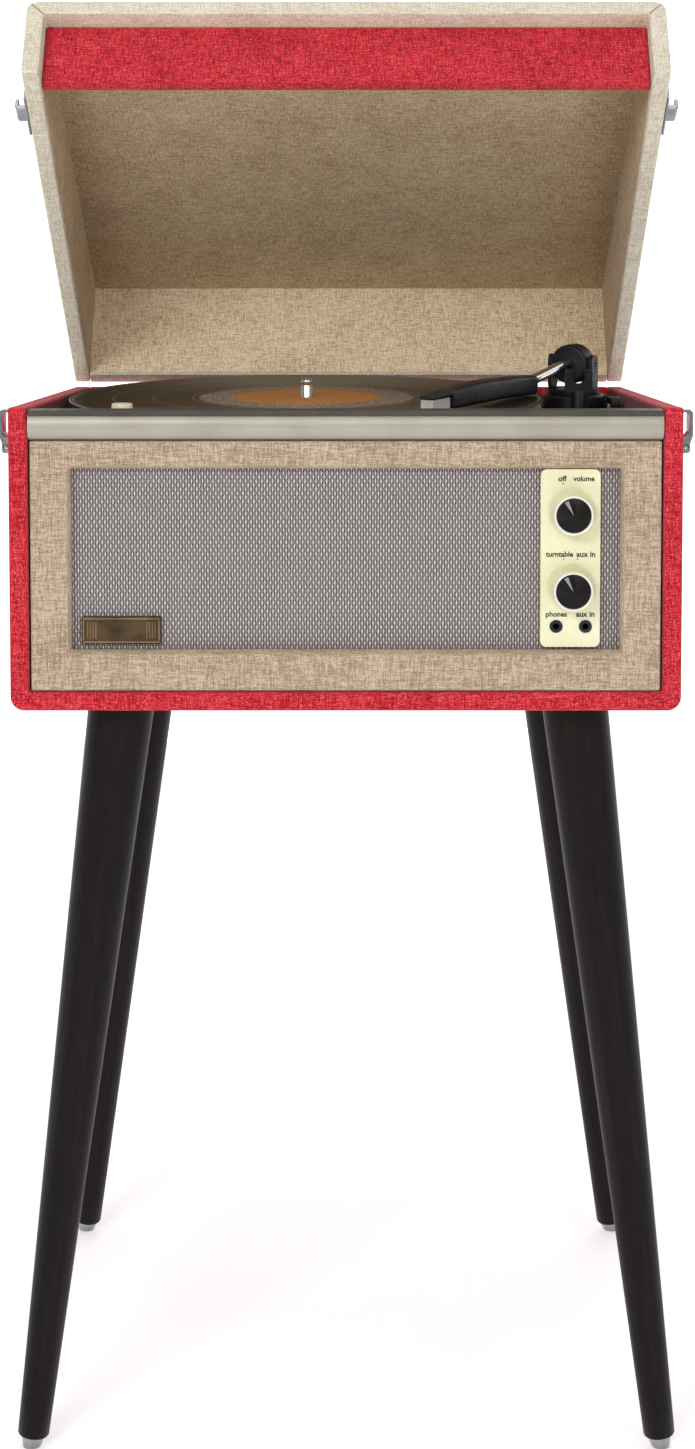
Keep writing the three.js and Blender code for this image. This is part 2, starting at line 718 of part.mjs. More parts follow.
function buildHinges() {
  const { half, pin } = HINGE;
  const inner = 7;
  const caseKnuckles = [[-half, -inner], [inner, half]];
  for (const [sideName, x] of [["left", -HINGE.x], ["right", HINGE.x]]) {
    const leaf = box(-half, half, LEAF.y0, LEAF.y1, -LEAF.far, -LEAF.near);
    const barrels = caseKnuckles.map(([x0, x1]) => knuckle(x0, x1));
    const webs = caseKnuckles.map(([x0, x1]) => box(x0, x1, LEAF.y0, LEAF.y1, -LEAF.near - 0.5, 0));
    const axle = rod(pin, -half + 1, half - 1, 12).rotateY(Math.PI / 2);
    const caseLeaf = join(leaf, ...webs, ...barrels, axle).translate(x, HINGE.y, HINGE.z);
    add("hinge_" + sideName + "_case_leaf", caseLeaf, steel);

    const lidPlate = box(-half, half, LEAF.y0, LEAF.y1, LEAF.near, LEAF.far);
    const lidWeb = box(-inner + GAP, inner - GAP, LEAF.y0, LEAF.y1, 0, LEAF.near + 0.5);
    const lidBarrel = knuckle(-inner + GAP, inner - GAP);
    const bore = rod(pin + GAP, -half, half, 12).rotateY(Math.PI / 2);
    const lidLeaf = cut(join(lidPlate, lidWeb, lidBarrel), bore).translate(x, 0, 0);
    addTo(lidGroup, "hinge_" + sideName + "_lid_leaf", lidLeaf, steel);
  }
}

// ---------------------------------------------------------------- latches

// A base plate with two ears on the case's side, seen on the right. The lever turns between the ears.
function latchBase() {
  const x = CASE_X + GAP;
  const plate = box(x, x + 1.7, LATCH_Y - 15, LATCH_Y + 15, 135, 168);
  const { half, pivotX, pivotZ } = LATCH;
  const earShape = roundedOutline(x, pivotX + 2.5, pivotZ - 4, pivotZ + 5, 2);
  const ears = [-half - 2, half + 0.4].map((y) => alongY(earShape, LATCH_Y + y, LATCH_Y + y + 1.6, 4));
  const pinHole = rod(1.5, -40, 40, 12).rotateX(Math.PI / 2).translate(pivotX, LATCH_Y, pivotZ);
  return cut(join(plate, ...ears), pinHole);
}

// A curved lever with a claw at its top that reaches in over the base plate.
function latchLever() {
  const { half, pivotX, pivotZ, outX } = LATCH;
  const profile = outline([
    [pivotX - 1.6, pivotZ - 1.2],
    [pivotX + 1.6, pivotZ - 1.2],
    [outX, pivotZ + 6],
    [outX, 167.6],
    [outX - 1.6, 169.3],
    [194.9, 169.3],
    [194.9, 167.7],
    [outX - 2.4, 167.7],
    [outX - 1.8, 166.6],
    [outX - 1.8, pivotZ + 7],
    [pivotX - 1.6, pivotZ + 1.6],
  ]);
  const plate = alongY(profile, LATCH_Y - half, LATCH_Y + half);
  const pin = rod(1.2, -half - 1.8, half + 1.8, 12).rotateX(Math.PI / 2);
  return join(plate, pin.translate(pivotX, LATCH_Y, pivotZ));
}

// A plate with an upturned hook on the lid's side, near the rim.
function latchKeeper() {
  const y = LID_FRONT_Y + LATCH_Y;
  const x = CASE_X + GAP;
  const plate = box(x, x + 1.6, y - 18, y + 18, RIM_Z + 2, RIM_Z + 14);
  const hookShape = outline([
    [x + 1, RIM_Z + 3.5],
    [x + 6.5, RIM_Z + 3.5],
    [x + 8.2, RIM_Z + 5.5],
    [x + 8.2, RIM_Z + 11.5],
    [x + 6.2, RIM_Z + 11.5],
    [x + 6.2, RIM_Z + 7],
    [x + 1, RIM_Z + 7],
  ]);
  return join(plate, alongY(hookShape, y - 6, y + 6));
}

function buildLatches() {
  const base = latchBase();
  const lever = latchLever();
  const keeper = latchKeeper();
  add("latch_right_base", base, chrome);
  add("latch_left_base", mirroredX(base), chrome);
  add("latch_right_lever", lever, chrome);
  add("latch_left_lever", mirroredX(lever), chrome);
  addTo(lidGroup, "latch_right_keeper", keeper, chrome);
  addTo(lidGroup, "latch_left_keeper", mirroredX(keeper), chrome);
}

// ---------------------------------------------------------------- legs

// A turned leg along the line from foot to top, cut level under the case, and its metal glide.
function buildLeg(name, xSign, { topY, footY }) {
  const foot = new THREE.Vector3(xSign * LEG.footX, footY, -LEG.height);
  const top = new THREE.Vector3(xSign * LEG.topX, topY, 0);
  const length = foot.distanceTo(top);
  const turn = new THREE.Quaternion().setFromUnitVectors(
    new THREE.Vector3(0, 0, 1),
    top.clone().sub(foot).normalize(),
  );
  const place = (geometry) => geometry.applyQuaternion(turn).translate(foot.x, foot.y, foot.z);
  const spread = (LEG.topR - LEG.footR) / length;
  const wood = turned(
    [
      [0, GLIDE.h],
      [LEG.footR - 1, GLIDE.h],
      [LEG.footR, GLIDE.h + 1.2],
      [LEG.topR + 10 * spread, length + 10],
      [0, length + 10],
    ],
    28,
  );
  const aboveUnderside = box(-300, 300, -100, 500, -GAP, 100);
  add("leg_" + name, cut(place(wood), aboveUnderside), darkWood);

  const glide = turned(
    [[0, -4], [GLIDE.tipR, -4], [GLIDE.r, GLIDE.h - GAP], [0, GLIDE.h - GAP]],
    20,
  );
  const underFloor = box(-300, 300, -100, 500, foot.z - 50, foot.z);
  add("glide_" + name, cut(place(glide), underFloor), steel);
}

// ---------------------------------------------------------------- the whole object

buildCase();
buildConnectorPlate();
buildFront();
buildTrim();
buildSpeakers();
buildControls();
buildDeck();
buildPlatter();
buildRecord();
buildBelt();
buildSpeedKnob();
buildTonearmBase();
buildCueLever();
buildArmRest();
buildTurret();
buildArmCollar();
buildArmTube();
buildHead();
buildLid();
buildHinges();
buildLatches();
for (const [end, at] of [["front", LEG_FRONT], ["rear", LEG_REAR]]) {
  buildLeg(end + "_left", -1, at);
  buildLeg(end + "_right", 1, at);
}

// The origin goes on the floor, below the middle of the bounding box.
player.updateMatrixWorld(true);
const bounds = new THREE.Box3().setFromObject(player, true);
const centre = bounds.getCenter(new THREE.Vector3());
player.position.set(-centre.x, -centre.y, -bounds.min.z);

export default player;
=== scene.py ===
# A suitcase record player on four legs: the visual model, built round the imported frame.
# Lengths are in metres. MM turns millimetres into metres.
import json
import math

import bmesh
import bpy
from mathutils import Matrix, Vector


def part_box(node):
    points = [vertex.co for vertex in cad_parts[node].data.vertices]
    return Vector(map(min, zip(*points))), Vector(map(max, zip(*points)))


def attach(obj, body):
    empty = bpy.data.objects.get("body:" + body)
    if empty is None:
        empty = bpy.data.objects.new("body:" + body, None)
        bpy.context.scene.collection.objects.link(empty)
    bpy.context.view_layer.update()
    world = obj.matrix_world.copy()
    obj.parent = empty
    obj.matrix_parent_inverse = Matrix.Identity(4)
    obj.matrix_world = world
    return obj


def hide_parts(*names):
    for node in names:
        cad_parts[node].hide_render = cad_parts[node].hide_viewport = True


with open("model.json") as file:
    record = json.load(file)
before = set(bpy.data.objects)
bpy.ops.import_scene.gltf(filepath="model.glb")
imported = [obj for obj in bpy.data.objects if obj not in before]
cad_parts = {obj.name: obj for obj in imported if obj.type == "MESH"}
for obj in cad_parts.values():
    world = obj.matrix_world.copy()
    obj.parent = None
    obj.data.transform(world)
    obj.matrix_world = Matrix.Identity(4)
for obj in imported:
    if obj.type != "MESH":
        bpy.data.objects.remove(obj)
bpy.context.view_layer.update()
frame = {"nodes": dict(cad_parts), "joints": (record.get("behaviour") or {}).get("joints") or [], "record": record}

MM = 0.001
record = frame["record"]
SLOTS = {row["node"]: row["material_slot"] for row in record["subparts"]}
BODIES = {node: body for body, nodes in record["behaviour"]["bodies"].items() for node in nodes}
JOINTS = {joint["name"]: joint for joint in frame["joints"]}


# ---- camera, stage, lights

CAMERA_POINT = Vector((0.0087, -1.6446, 0.7715))
CAMERA_PITCH = math.radians(4.02)
CAMERA_LENS = 63.8
CAMERA_SHIFT = (-0.0093, -0.28)
LIT_POINT = (0, 0, 0.55)


def link(made):
    bpy.context.scene.collection.objects.link(made)
    return made


def make_camera():
    data = bpy.data.cameras.new("camera")
    data.lens = CAMERA_LENS
    data.shift_x, data.shift_y = CAMERA_SHIFT
    camera = bpy.data.objects.new("camera", data)
    camera.location = CAMERA_POINT
    camera.rotation_euler = (math.pi / 2 - CAMERA_PITCH, 0, 0)
    link(camera)
    bpy.context.scene.camera = camera


make_camera()


def srgb(red, green, blue):
    """A linear colour from screen values of 0 to 255."""

    def linear(value):
        value /= 255
        return value / 12.92 if value <= 0.04045 else ((value + 0.055) / 1.055) ** 2.4

    return (linear(red), linear(green), linear(blue), 1)


def make_light(name, point, size, watts):
    data = bpy.data.lights.new(name, "AREA")
    data.shape = "RECTANGLE"
    data.size, data.size_y = size
    data.energy = watts
    light = bpy.data.objects.new(name, data)
    light.location = point
    light.rotation_euler = (Vector(LIT_POINT) - Vector(point)).to_track_quat("-Z", "Y").to_euler()
    link(light)


def paper(name, glow):
    material = bpy.data.materials.new(name)
    material.use_nodes = True
    shader = material.node_tree.nodes["Principled BSDF"]
    shader.inputs["Base Color"].default_value = (0.9, 0.9, 0.9, 1)
    shader.inputs["Roughness"].default_value = 0.9
    shader.inputs["Emission Color"].default_value = (1, 1, 1, 1)
    shader.inputs["Emission Strength"].default_value = glow
    return material


def make_strip(name, profile, reach, material):
    """A smooth surface through (y, z) points, from -reach to reach in X."""
    mesh = bpy.data.meshes.new(name)
    verts = [(x, y, z) for y, z in profile for x in (-reach, reach)]
    faces = [(2 * i, 2 * i + 1, 2 * i + 3, 2 * i + 2) for i in range(len(profile) - 1)]
    mesh.from_pydata(verts, [], faces)
    for face in mesh.polygons:
        face.use_smooth = True
    mesh.materials.append(material)
    strip = link(bpy.data.objects.new(name, mesh))


def make_stage():
    """A pale floor that curves up into a distant backdrop, five soft lights, and a dim world."""
    rise, reach, deep, high, seam = 3.0, 14.0, 9.0, 9.0, 1.6
    bend = [(deep - rise, 0.0)]
    for step in range(1, 13):
        turn = math.pi / 2 * step / 12
        bend.append((deep - rise + rise * math.sin(turn), rise - rise * math.cos(turn)))
    make_strip("floor", [(-reach, 0.0), (seam, 0.0)], reach, paper("floor_paper", 0.36))
    make_strip("backdrop", [(seam, 0.0)] + bend + [(deep, high)], reach, paper("backdrop_paper", 0.85))

    world = bpy.data.worlds.new("studio")
    world.use_nodes = True
    background = world.node_tree.nodes["Background"].inputs
    background["Color"].default_value = (1, 1, 1, 1)
    background["Strength"].default_value = 0.34
    bpy.context.scene.world = world
    bpy.context.scene.view_settings.view_transform = "Standard"

    lights = [
        ("key", (-1.2, -2.7, 1.85), (1.0, 0.8), 29),
        ("fill", (2.2, -2.2, 1.3), (1.4, 1.4), 10),
        ("front", (0.2, -3.1, 1.9), (2.2, 0.7), 15.5),
        ("back", (0.6, 2.2, 2.6), (1.8, 1.2), 14),
        ("above", (0.0, -0.4, 2.9), (1.6, 1.6), 13),
    ]
    for name, point, size, watts in lights:
        make_light(name, point, size, watts)


make_stage()


# ---- material graphs

class Graph:
    """A node material being made, with a Principled shader. Socket names have _ for a space.
    mm is the piece's own coordinates, in millimetres."""

    def __init__(self, name, **sockets):
        self.material = bpy.data.materials.new(name)
        self.material.use_nodes = True
        self.tree = self.material.node_tree
        self.shader = self.tree.nodes["Principled BSDF"]
        for socket, value in sockets.items():
            self.shader.inputs[socket.replace("_", " ")].default_value = value
        self.coords = self.node("TexCoord").outputs
        self.mm = self.scaled(self.coords["Object"], (1000, 1000, 1000))

    def feed(self, socket, value):
        if isinstance(value, bpy.types.NodeSocket):
            self.tree.links.new(value, socket)
        else:
            socket.default_value = value

    def node(self, kind, inputs=None, **settings):
        made = self.tree.nodes.new("ShaderNode" + kind)
        for key, value in settings.items():
            setattr(made, key, value)
        for key, value in (inputs or {}).items():
            self.feed(made.inputs[key], value)
        return made

    def math(self, operation, first, second=0.0, clamp=False):
        made = self.node("Math", {0: first, 1: second}, operation=operation, use_clamp=clamp)
        return made.outputs[0]

    def add(self, first, second):
        return self.math("ADD", first, second)

    def less(self, first, second):
        return self.math("SUBTRACT", first, second)

    def times(self, first, second):
        return self.math("MULTIPLY", first, second)

    def scaled(self, vector, scale):
        return self.node("Mapping", {"Vector": vector, "Scale": scale}).outputs[0]

    def split(self, vector):
        return self.node("SeparateXYZ", {0: vector}).outputs

    def noise(self, vector, scale, detail=2.0, roughness=0.5):
        inputs = {"Vector": vector, "Scale": scale, "Detail": detail, "Roughness": roughness}
        return self.node("TexNoise", inputs).outputs["Fac"]

    def ramp(self, factor, *stops):
        """A colour ramp with (place, colour) stops. Here and in mix, a colour is red, green and blue
        as screen values."""
        made = self.node("ValToRGB", {"Fac": factor})
        points = made.color_ramp.elements
        while len(points) < len(stops):
            points.new(0.5)
        for point, (place, colour) in zip(points, stops):
            point.position = place
            point.color = srgb(*colour)
        return made.outputs["Color"]

    def rings(self, vector):
        """The distance from the Z axis, and a vector that makes a noise run in rings round it."""
        x, y, _ = self.split(vector)
        squares = self.add(self.times(x, x), self.times(y, y))
        radius = self.math("SQRT", squares)
        return radius, self.node("CombineXYZ", {0: radius}).outputs[0]

    def turn_gloss(self):
        """Highlights that run round the Z axis, as on a turned face."""
        tangent = self.node("Tangent", direction_type="RADIAL", axis="Z")
        self.feed(self.shader.inputs["Tangent"], tangent.outputs[0])

    def level(self, factor, low, high, start=0.0, end=1.0):
        """factor from low to high as a value from start to end."""
        inputs = {"Value": factor, 1: low, 2: high, 3: start, 4: end}
        return self.node("MapRange", inputs).outputs[0]

    def mix(self, factor, first, second):
        first, second = (srgb(*c) if isinstance(c, tuple) else c for c in (first, second))
        made = self.node("Mix", {0: factor, 6: first, 7: second}, data_type="RGBA")
        return made.outputs[2]

    def colour(self, value):
        self.feed(self.shader.inputs["Base Color"], value)

    def rough(self, value):
        self.feed(self.shader.inputs["Roughness"], value)

    def bump(self, height, distance, strength=1.0):
        made = self.node("Bump", {"Height": height, "Distance": distance, "Strength": strength})
        self.feed(self.shader.inputs["Normal"], made.outputs[0])


def linen(name, dark, middle, light, fleck, bump=0.12):
    """Woven book cloth: long uneven threads both ways on every face, with pale and dark slubs."""
    g = Graph(name, Roughness=0.82, Specular_IOR_Level=0.25, Sheen_Weight=0.12, Sheen_Roughness=0.5)
    across = g.split(g.coords["Normal"])
    wander = g.noise(g.mm, 0.22, 1.0)
    streaks = None
    grid = None
    for axis in range(3):
        scale = [1.8, 1.8, 1.8]
        scale[axis] = 0.13
        streak = g.noise(g.scaled(g.mm, tuple(scale)), 1.0, 3.0, 0.7)
        weight = g.less(1.0, g.math("ABSOLUTE", across[axis]))
        part = g.times(g.less(streak, 0.5), weight)
        streaks = part if streaks is None else g.add(streaks, part)
        place = g.add(g.split(g.mm)[axis], wander)
        thread = g.math("ABSOLUTE", g.math("SINE", g.times(place, math.pi / 0.8)))
        ridge = g.times(thread, weight)
        grid = ridge if grid is None else g.add(grid, ridge)
    cloud = g.less(g.noise(g.mm, 0.03, 3.0, 0.6), 0.5)
    grain = g.less(g.noise(g.mm, 1.1, 2.0, 0.7), 0.5)
    tone = g.add(streaks, g.times(cloud, 0.25))
    tone = g.add(tone, g.times(grain, 0.7))
    colour = g.ramp(g.level(tone, -0.23, 0.23), (0.12, dark), (0.5, middle), (0.88, light))
    spots = g.level(g.noise(g.mm, 1.2, 1.0), 0.62, 0.7)
    colour = g.mix(g.times(spots, 0.55), colour, fleck)
    g.colour(colour)
    g.rough(g.level(tone, -0.25, 0.25, 0.92, 0.74))
    height = g.add(g.times(streaks, 2.2), g.times(grid, 0.35))
    g.bump(height, bump * MM, 0.8)
    return g.material


# The grille's threads: spacing in g.mm, half width as a share of it, and how far each dips.
WARP, WEFT = 1.55, 2.35
WARP_HALF, WEFT_HALF = 0.3, 0.44
DIP = 0.45


def grille_fabric():
    """Open plain weave: grey-mauve cross threads, near-white upright threads, dark holes, with painted shade
    darkening each thread toward its low edges.
    """
    g = Graph("grille_fabric", Roughness=0.7, Specular_IOR_Level=0.3)
    wobble = g.times(g.less(g.noise(g.mm, 0.35, 2.0), 0.5), 0.55)
    u = g.add(g.math("DIVIDE", g.split(g.mm)[0], WARP), wobble)
    v = g.add(g.math("DIVIDE", g.split(g.mm)[2], WEFT), g.times(wobble, 0.5))
    near_u = g.math("ROUND", u)
    near_v = g.math("ROUND", v)
    wave = {}
    for key, value in (("u", u), ("v", v), ("near_u", near_u), ("near_v", near_v)):
        wave[key] = g.math("COSINE", g.times(value, math.pi))

    def thread(place, nearest, width, lift):
        off = g.math("DIVIDE", g.less(place, nearest), width)
        profile = g.math("SUBTRACT", 1.0, g.math("POWER", g.math("ABSOLUTE", off), 2.0), clamp=True)
        return g.times(profile, g.add(1 - DIP, g.times(lift, DIP)))

    warp_lift = g.times(wave["near_u"], wave["v"])
    weft_lift = g.times(g.times(wave["u"], wave["near_v"]), -1.0)
    warp = thread(u, near_u, WARP_HALF, warp_lift)
    weft = thread(v, near_v, WEFT_HALF, weft_lift)
    on_top = g.math("GREATER_THAN", warp, weft)
    height = g.math("MAXIMUM", warp, weft)
    tint = g.noise(g.mm, 0.05, 2.0)
    weft_colour = g.mix(tint, (142, 133, 132), (128, 120, 122))
    threads = g.mix(on_top, weft_colour, (216, 209, 206))
    # Painted shade: the colour darkens with the weave's height, down the threads' sides and into the holes.
    shade = g.level(height, 0.02, 0.6)
    g.colour(g.mix(shade, (40, 33, 32), threads))
    g.bump(height, 0.35 * MM, 0.9)
    return g.material


def moulded(name, colour, shade, roughness, grain=0.02, scale=2.2, **sockets):
    """Moulded plastic: slight colour drift, a fine mould texture and uneven gloss."""
    g = Graph(name, **sockets)
    drift = g.noise(g.mm, 0.05, 3.0, 0.6)
    g.colour(g.mix(g.level(drift, 0.35, 0.65), colour, shade))
    fine = g.noise(g.mm, scale, 2.0)
    g.rough(g.level(g.noise(g.mm, 0.25, 2.0), 0.3, 0.7, roughness * 0.85, roughness * 1.2))
    g.bump(fine, grain * MM, 1.0)
    return g.material


def brushed(name, colour, shade, roughness, along=(1, 1, 1), **sockets):
    """Metal with fine lines along the axis whose scale is small, and smudges in its gloss."""
    g = Graph(name, Metallic=1.0, **sockets)
    lines = g.noise(g.scaled(g.mm, along), 3.0, 3.0, 0.7)
    smudge = g.noise(g.mm, 0.06, 3.0, 0.6)
    g.colour(g.mix(g.level(smudge, 0.3, 0.7), colour, shade))
    spread = g.add(g.times(lines, 0.5), g.times(smudge, 0.5))
    g.rough(g.level(spread, 0.3, 0.7, roughness * 0.75, roughness * 1.35))
    g.bump(lines, 0.01 * MM, 0.6)
    return g.material


def trim_metal():
    """Satin champagne lacquer on an extrusion, with drawn lines along X."""
    g = Graph("champagne_trim", Metallic=0.35)
    lines = g.noise(g.scaled(g.mm, (0.01, 2.2, 2.2)), 1.0, 2.0)
    smudge = g.noise(g.mm, 0.03, 3.0, 0.6)
    g.colour(g.mix(g.level(smudge, 0.3, 0.7), (178, 173, 161), (164, 158, 145)))
    g.rough(g.level(lines, 0.3, 0.7, 0.36, 0.5))
    g.bump(lines, 0.02 * MM, 0.5)
    return g.material


def lacquered_wood():
    """Near-black brown stain under satin lacquer. The grain runs along the leg's own Z."""
    g = Graph("dark_wood", Specular_IOR_Level=0.14)
    fibre = g.noise(g.scaled(g.mm, (0.9, 0.9, 0.02)), 1.0, 4.0, 0.65)
    rings = g.noise(g.scaled(g.mm, (0.16, 0.16, 0.004)), 1.0, 2.0)
    tone = g.add(g.times(fibre, 0.6), g.times(rings, 0.4))
    g.colour(g.ramp(tone, (0.3, (12, 9, 8)), (0.52, (20, 16, 14)), (0.7, (36, 29, 25))))
    g.rough(g.level(fibre, 0.3, 0.7, 0.34, 0.5))
    g.bump(fibre, 0.05 * MM, 0.5)
    return g.material


def felt():
    g = Graph("felt", Roughness=0.95, Sheen_Weight=0.5, Sheen_Roughness=0.4)
    fibres = g.noise(g.mm, 1.6, 4.0, 0.8)
    g.colour(g.ramp(fibres, (0.3, (28, 27, 26)), (0.7, (52, 50, 48))))
    g.bump(fibres, 0.25 * MM, 1.0)
    return g.material


LABEL_R = 48.5
INNER_RING_R = 68.5


def pressed_vinyl():
    """Black-brown vinyl with grooves, pale rings at the gaps between tracks as a painted reflection, a speckled
    inner ring and a label.
    """
    g = Graph("vinyl", Specular_IOR_Level=0.3, Anisotropic=0.6, IOR=1.4)
    radius, ring = g.rings(g.mm)
    bands = g.noise(ring, 0.12, 2.0, 0.7)
    fine = g.noise(ring, 1.6, 2.0, 0.8)
    grooves = g.mix(g.level(bands, 0.35, 0.65), (18, 14, 11), (32, 26, 20))
    # Pale rings at the gaps between tracks: a painted reflection of the smooth vinyl there.
    gap_sheen = g.math("LESS_THAN", g.math("PINGPONG", g.less(radius, INNER_RING_R + 4), 12.6), 0.6)
    grooves = g.mix(gap_sheen, grooves, (120, 106, 92))
    grain = g.noise(g.mm, 0.55, 3.0, 0.8)
    speckle = g.ramp(grain, (0.4, (108, 92, 84)), (0.52, (152, 134, 124)), (0.62, (196, 180, 168)))
    paper = g.ramp(g.noise(g.mm, 0.5, 4.0, 0.7), (0.3, (184, 122, 66)), (0.7, (214, 156, 96)))
    edge = g.math("LESS_THAN", g.math("ABSOLUTE", g.less(radius, LABEL_R - 3)), 0.35)
    paper = g.mix(g.times(edge, 0.7), paper, (110, 62, 30))
    in_ring = g.math("LESS_THAN", radius, INNER_RING_R)
    in_label = g.math("LESS_THAN", radius, LABEL_R)
    g.colour(g.mix(in_label, g.mix(in_ring, grooves, speckle), paper))
    matt = g.level(in_ring, 0.0, 1.0, 0.0, 0.38)
    g.rough(g.add(g.level(fine, 0.3, 0.7, 0.3, 0.44), matt))
    height = g.times(fine, g.less(1.0, in_ring))
    g.bump(height, 0.05 * MM, 0.7)
    g.turn_gloss()
    return g.material


def spun_cap():
    """Gloss black knob face, turned to fine rings."""
    g = Graph("spun_cap", Metallic=0.8, Anisotropic=0.92, Specular_IOR_Level=0.4)
    _, ring = g.rings(g.mm)
    turned = g.noise(ring, 3.0, 2.0, 0.8)
    g.colour(g.mix(turned, (20, 18, 18), (42, 39, 38)))
    g.rough(g.level(turned, 0.3, 0.7, 0.3, 0.42))
    g.bump(turned, 0.02 * MM, 0.6)
    g.turn_gloss()
    return g.material


def raw_board():
    g = Graph("fibreboard", Roughness=0.9)
    chips = g.noise(g.scaled(g.mm, (0.4, 1.0, 0.9)), 0.9, 4.0, 0.75)
    g.colour(g.ramp(chips, (0.3, (112, 84, 56)), (0.7, (168, 134, 96))))
    g.bump(chips, 0.2 * MM, 0.7)
    return g.material


def circuit_board():
    g = Graph("circuit_board", Roughness=0.5)
    cells = g.node("TexVoronoi", {"Vector": g.mm, "Scale": 0.22}, feature="DISTANCE_TO_EDGE")
    track = g.level(cells.outputs["Distance"], 0.04, 0.09)
    g.colour(g.mix(track, (66, 128, 84), (24, 78, 48)))
    g.bump(track, 0.05 * MM, 0.6)
    return g.material


def printed_ink():
    g = Graph("printed_ink", Roughness=0.6)
    g.colour(g.mix(g.noise(g.mm, 2.5, 2.0), (18, 17, 16), (38, 36, 33)))
    return g.material


# Cloth: its dark, middle and light thread and its slubs.
CLOTHS = {
    "red_cloth": ((136, 4, 18), (192, 17, 35), (222, 64, 78), (242, 134, 140)),
    # The next cloth is the case's red cloth darkened as painted shade, for the inner walls under the lid.
    "dark_red_cloth": ((84, 8, 18), (112, 18, 32), (136, 40, 54), (150, 70, 80)),
    "cream_cloth": ((192, 180, 156), (220, 211, 191), (238, 231, 214), (166, 148, 122)),
    # The next two cloths are the lid's cream cloth inside the lid: darkened to tan as painted shade, and lighter
    # on the rear wall as painted light.
    "lining_cloth": ((164, 138, 102), (208, 183, 145), (232, 214, 182), (140, 112, 80)),
    "rear_lining_cloth": ((196, 170, 132), (244, 222, 185), (254, 243, 219), (160, 130, 96)),
    "front_cloth": ((142, 124, 100), (178, 158, 132), (206, 189, 166), (192, 132, 112)),
}

# Plastic and rubber: colour, shade, roughness, then the texture's depth in mm and its scale.
PLASTICS = {
    # The first entry darkens the strip on top of the trim as painted shade.
    "lip_metal": ((70, 65, 56), (58, 54, 47), 0.5, 0.02),
    "deck_plastic": ((26, 23, 20), (18, 16, 14), 0.3, 0.04, 1.4),
    "belt_rubber": ((30, 29, 28), (20, 19, 19), 0.8, 0.05),
    "cartridge_plastic": ((222, 216, 214), (204, 197, 196), 0.38, 0.02),
    "ivory_plastic": ((238, 235, 200), (229, 225, 185), 0.34, 0.01),
    "pale_rim": ((240, 239, 226), (232, 230, 214), 0.22, 0.005),
    "red_collar": ((186, 24, 30), (160, 18, 24), 0.38, 0.01),
    "seam_thread": ((104, 90, 72), (82, 70, 56), 0.9, 0.05),
}

# Metal: colour, shade, roughness, and the scale of its fine lines along each axis.
METALS = {
    "bronze_badge": ((96, 80, 60), (58, 47, 35), 0.42, (0.3, 1.5, 1.5)),
    # The next bronze is the badge's own bronze made lighter, a painted highlight for its raised relief.
    "bronze_edge": ((166, 144, 112), (122, 102, 74), 0.3, (0.3, 1.5, 1.5)),
    "platter_metal": ((190, 190, 192), (160, 160, 163), 0.3),
    "chrome": ((222, 223, 226), (196, 198, 202), 0.12, (0.2, 0.2, 1)),
    "nickel": ((158, 160, 164), (124, 126, 130), 0.16, (0.3, 0.3, 1)),
    "steel": ((176, 177, 179), (142, 143, 146), 0.3, (0.2, 1, 1)),
}

MATERIALS = {
    "grille_fabric": grille_fabric(),
    "champagne_trim": trim_metal(),
    "vinyl": pressed_vinyl(),
    "felt": felt(),
    "dark_wood": lacquered_wood(),
    "fibreboard": raw_board(),
    "circuit_board": circuit_board(),
    "printed_ink": printed_ink(),
    "spun_cap": spun_cap(),
    "black_plastic": moulded(
        "black_plastic", (25, 28, 32), (18, 20, 23), 0.46, 0.03, Specular_IOR_Level=0.35
    ),
}
for family, maker in ((CLOTHS, linen), (PLASTICS, moulded), (METALS, brushed)):
    for name, values in family.items():
        MATERIALS[name] = maker(name, *values)


# ---- mesh helpers

def place(name, mesh, body, material, slot=None, replaces=(), matrix=None, sharp=35):
    """A finished piece: smooth faces with sharp edges above an angle, on a body of the frame."""
    for face in mesh.polygons:
        face.use_smooth = True
    mesh.set_sharp_from_angle(angle=math.radians(sharp))
    mesh.materials.clear()
    mesh.materials.append(MATERIALS[material])
    piece = link(bpy.data.objects.new(name, mesh))
    if matrix is not None:
        piece.matrix_world = matrix
    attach(piece, body)
    if replaces:
        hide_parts(*replaces)
    return piece


def mesh_of(name, verts, faces):
    mesh = bpy.data.meshes.new(name)
    mesh.from_pydata([tuple(v) for v in verts], [], faces)
    made = bmesh.new()
    made.from_mesh(mesh)
    bmesh.ops.recalc_face_normals(made, faces=made.faces)
    made.to_mesh(mesh)
    made.free()
    return mesh


def round_edges(piece, width, segments=3, angle=30):
    bevel = piece.modifiers.new("rounded_edges", "BEVEL")
    bevel.width = width
    bevel.segments = segments
    bevel.limit_method = "ANGLE"
    bevel.angle_limit = math.radians(angle)
    bevel.harden_normals = True
    return piece


def rounded(node, width, material=None, segments=2, matrix=None, sharp=60):
    """A CAD node's own shape as a clean mesh with rounded edges, in the frame given by matrix."""
    made = bmesh.new()
    made.from_mesh(frame["nodes"][node].data)
    bmesh.ops.remove_doubles(made, verts=made.verts, dist=2e-6)
    flat = math.radians(0.7)
    bmesh.ops.dissolve_limit(made, angle_limit=flat, verts=made.verts, edges=made.edges)
    bmesh.ops.recalc_face_normals(made, faces=made.faces)
    if matrix is not None:
        made.transform(matrix.inverted())
    mesh = bpy.data.meshes.new(node + "_finished")
    made.to_mesh(mesh)
    made.free()
    slot = SLOTS[node]
    piece = place(mesh.name, mesh, BODIES[node], material or slot, slot, (node,), matrix, sharp)
    return round_edges(piece, width, segments)


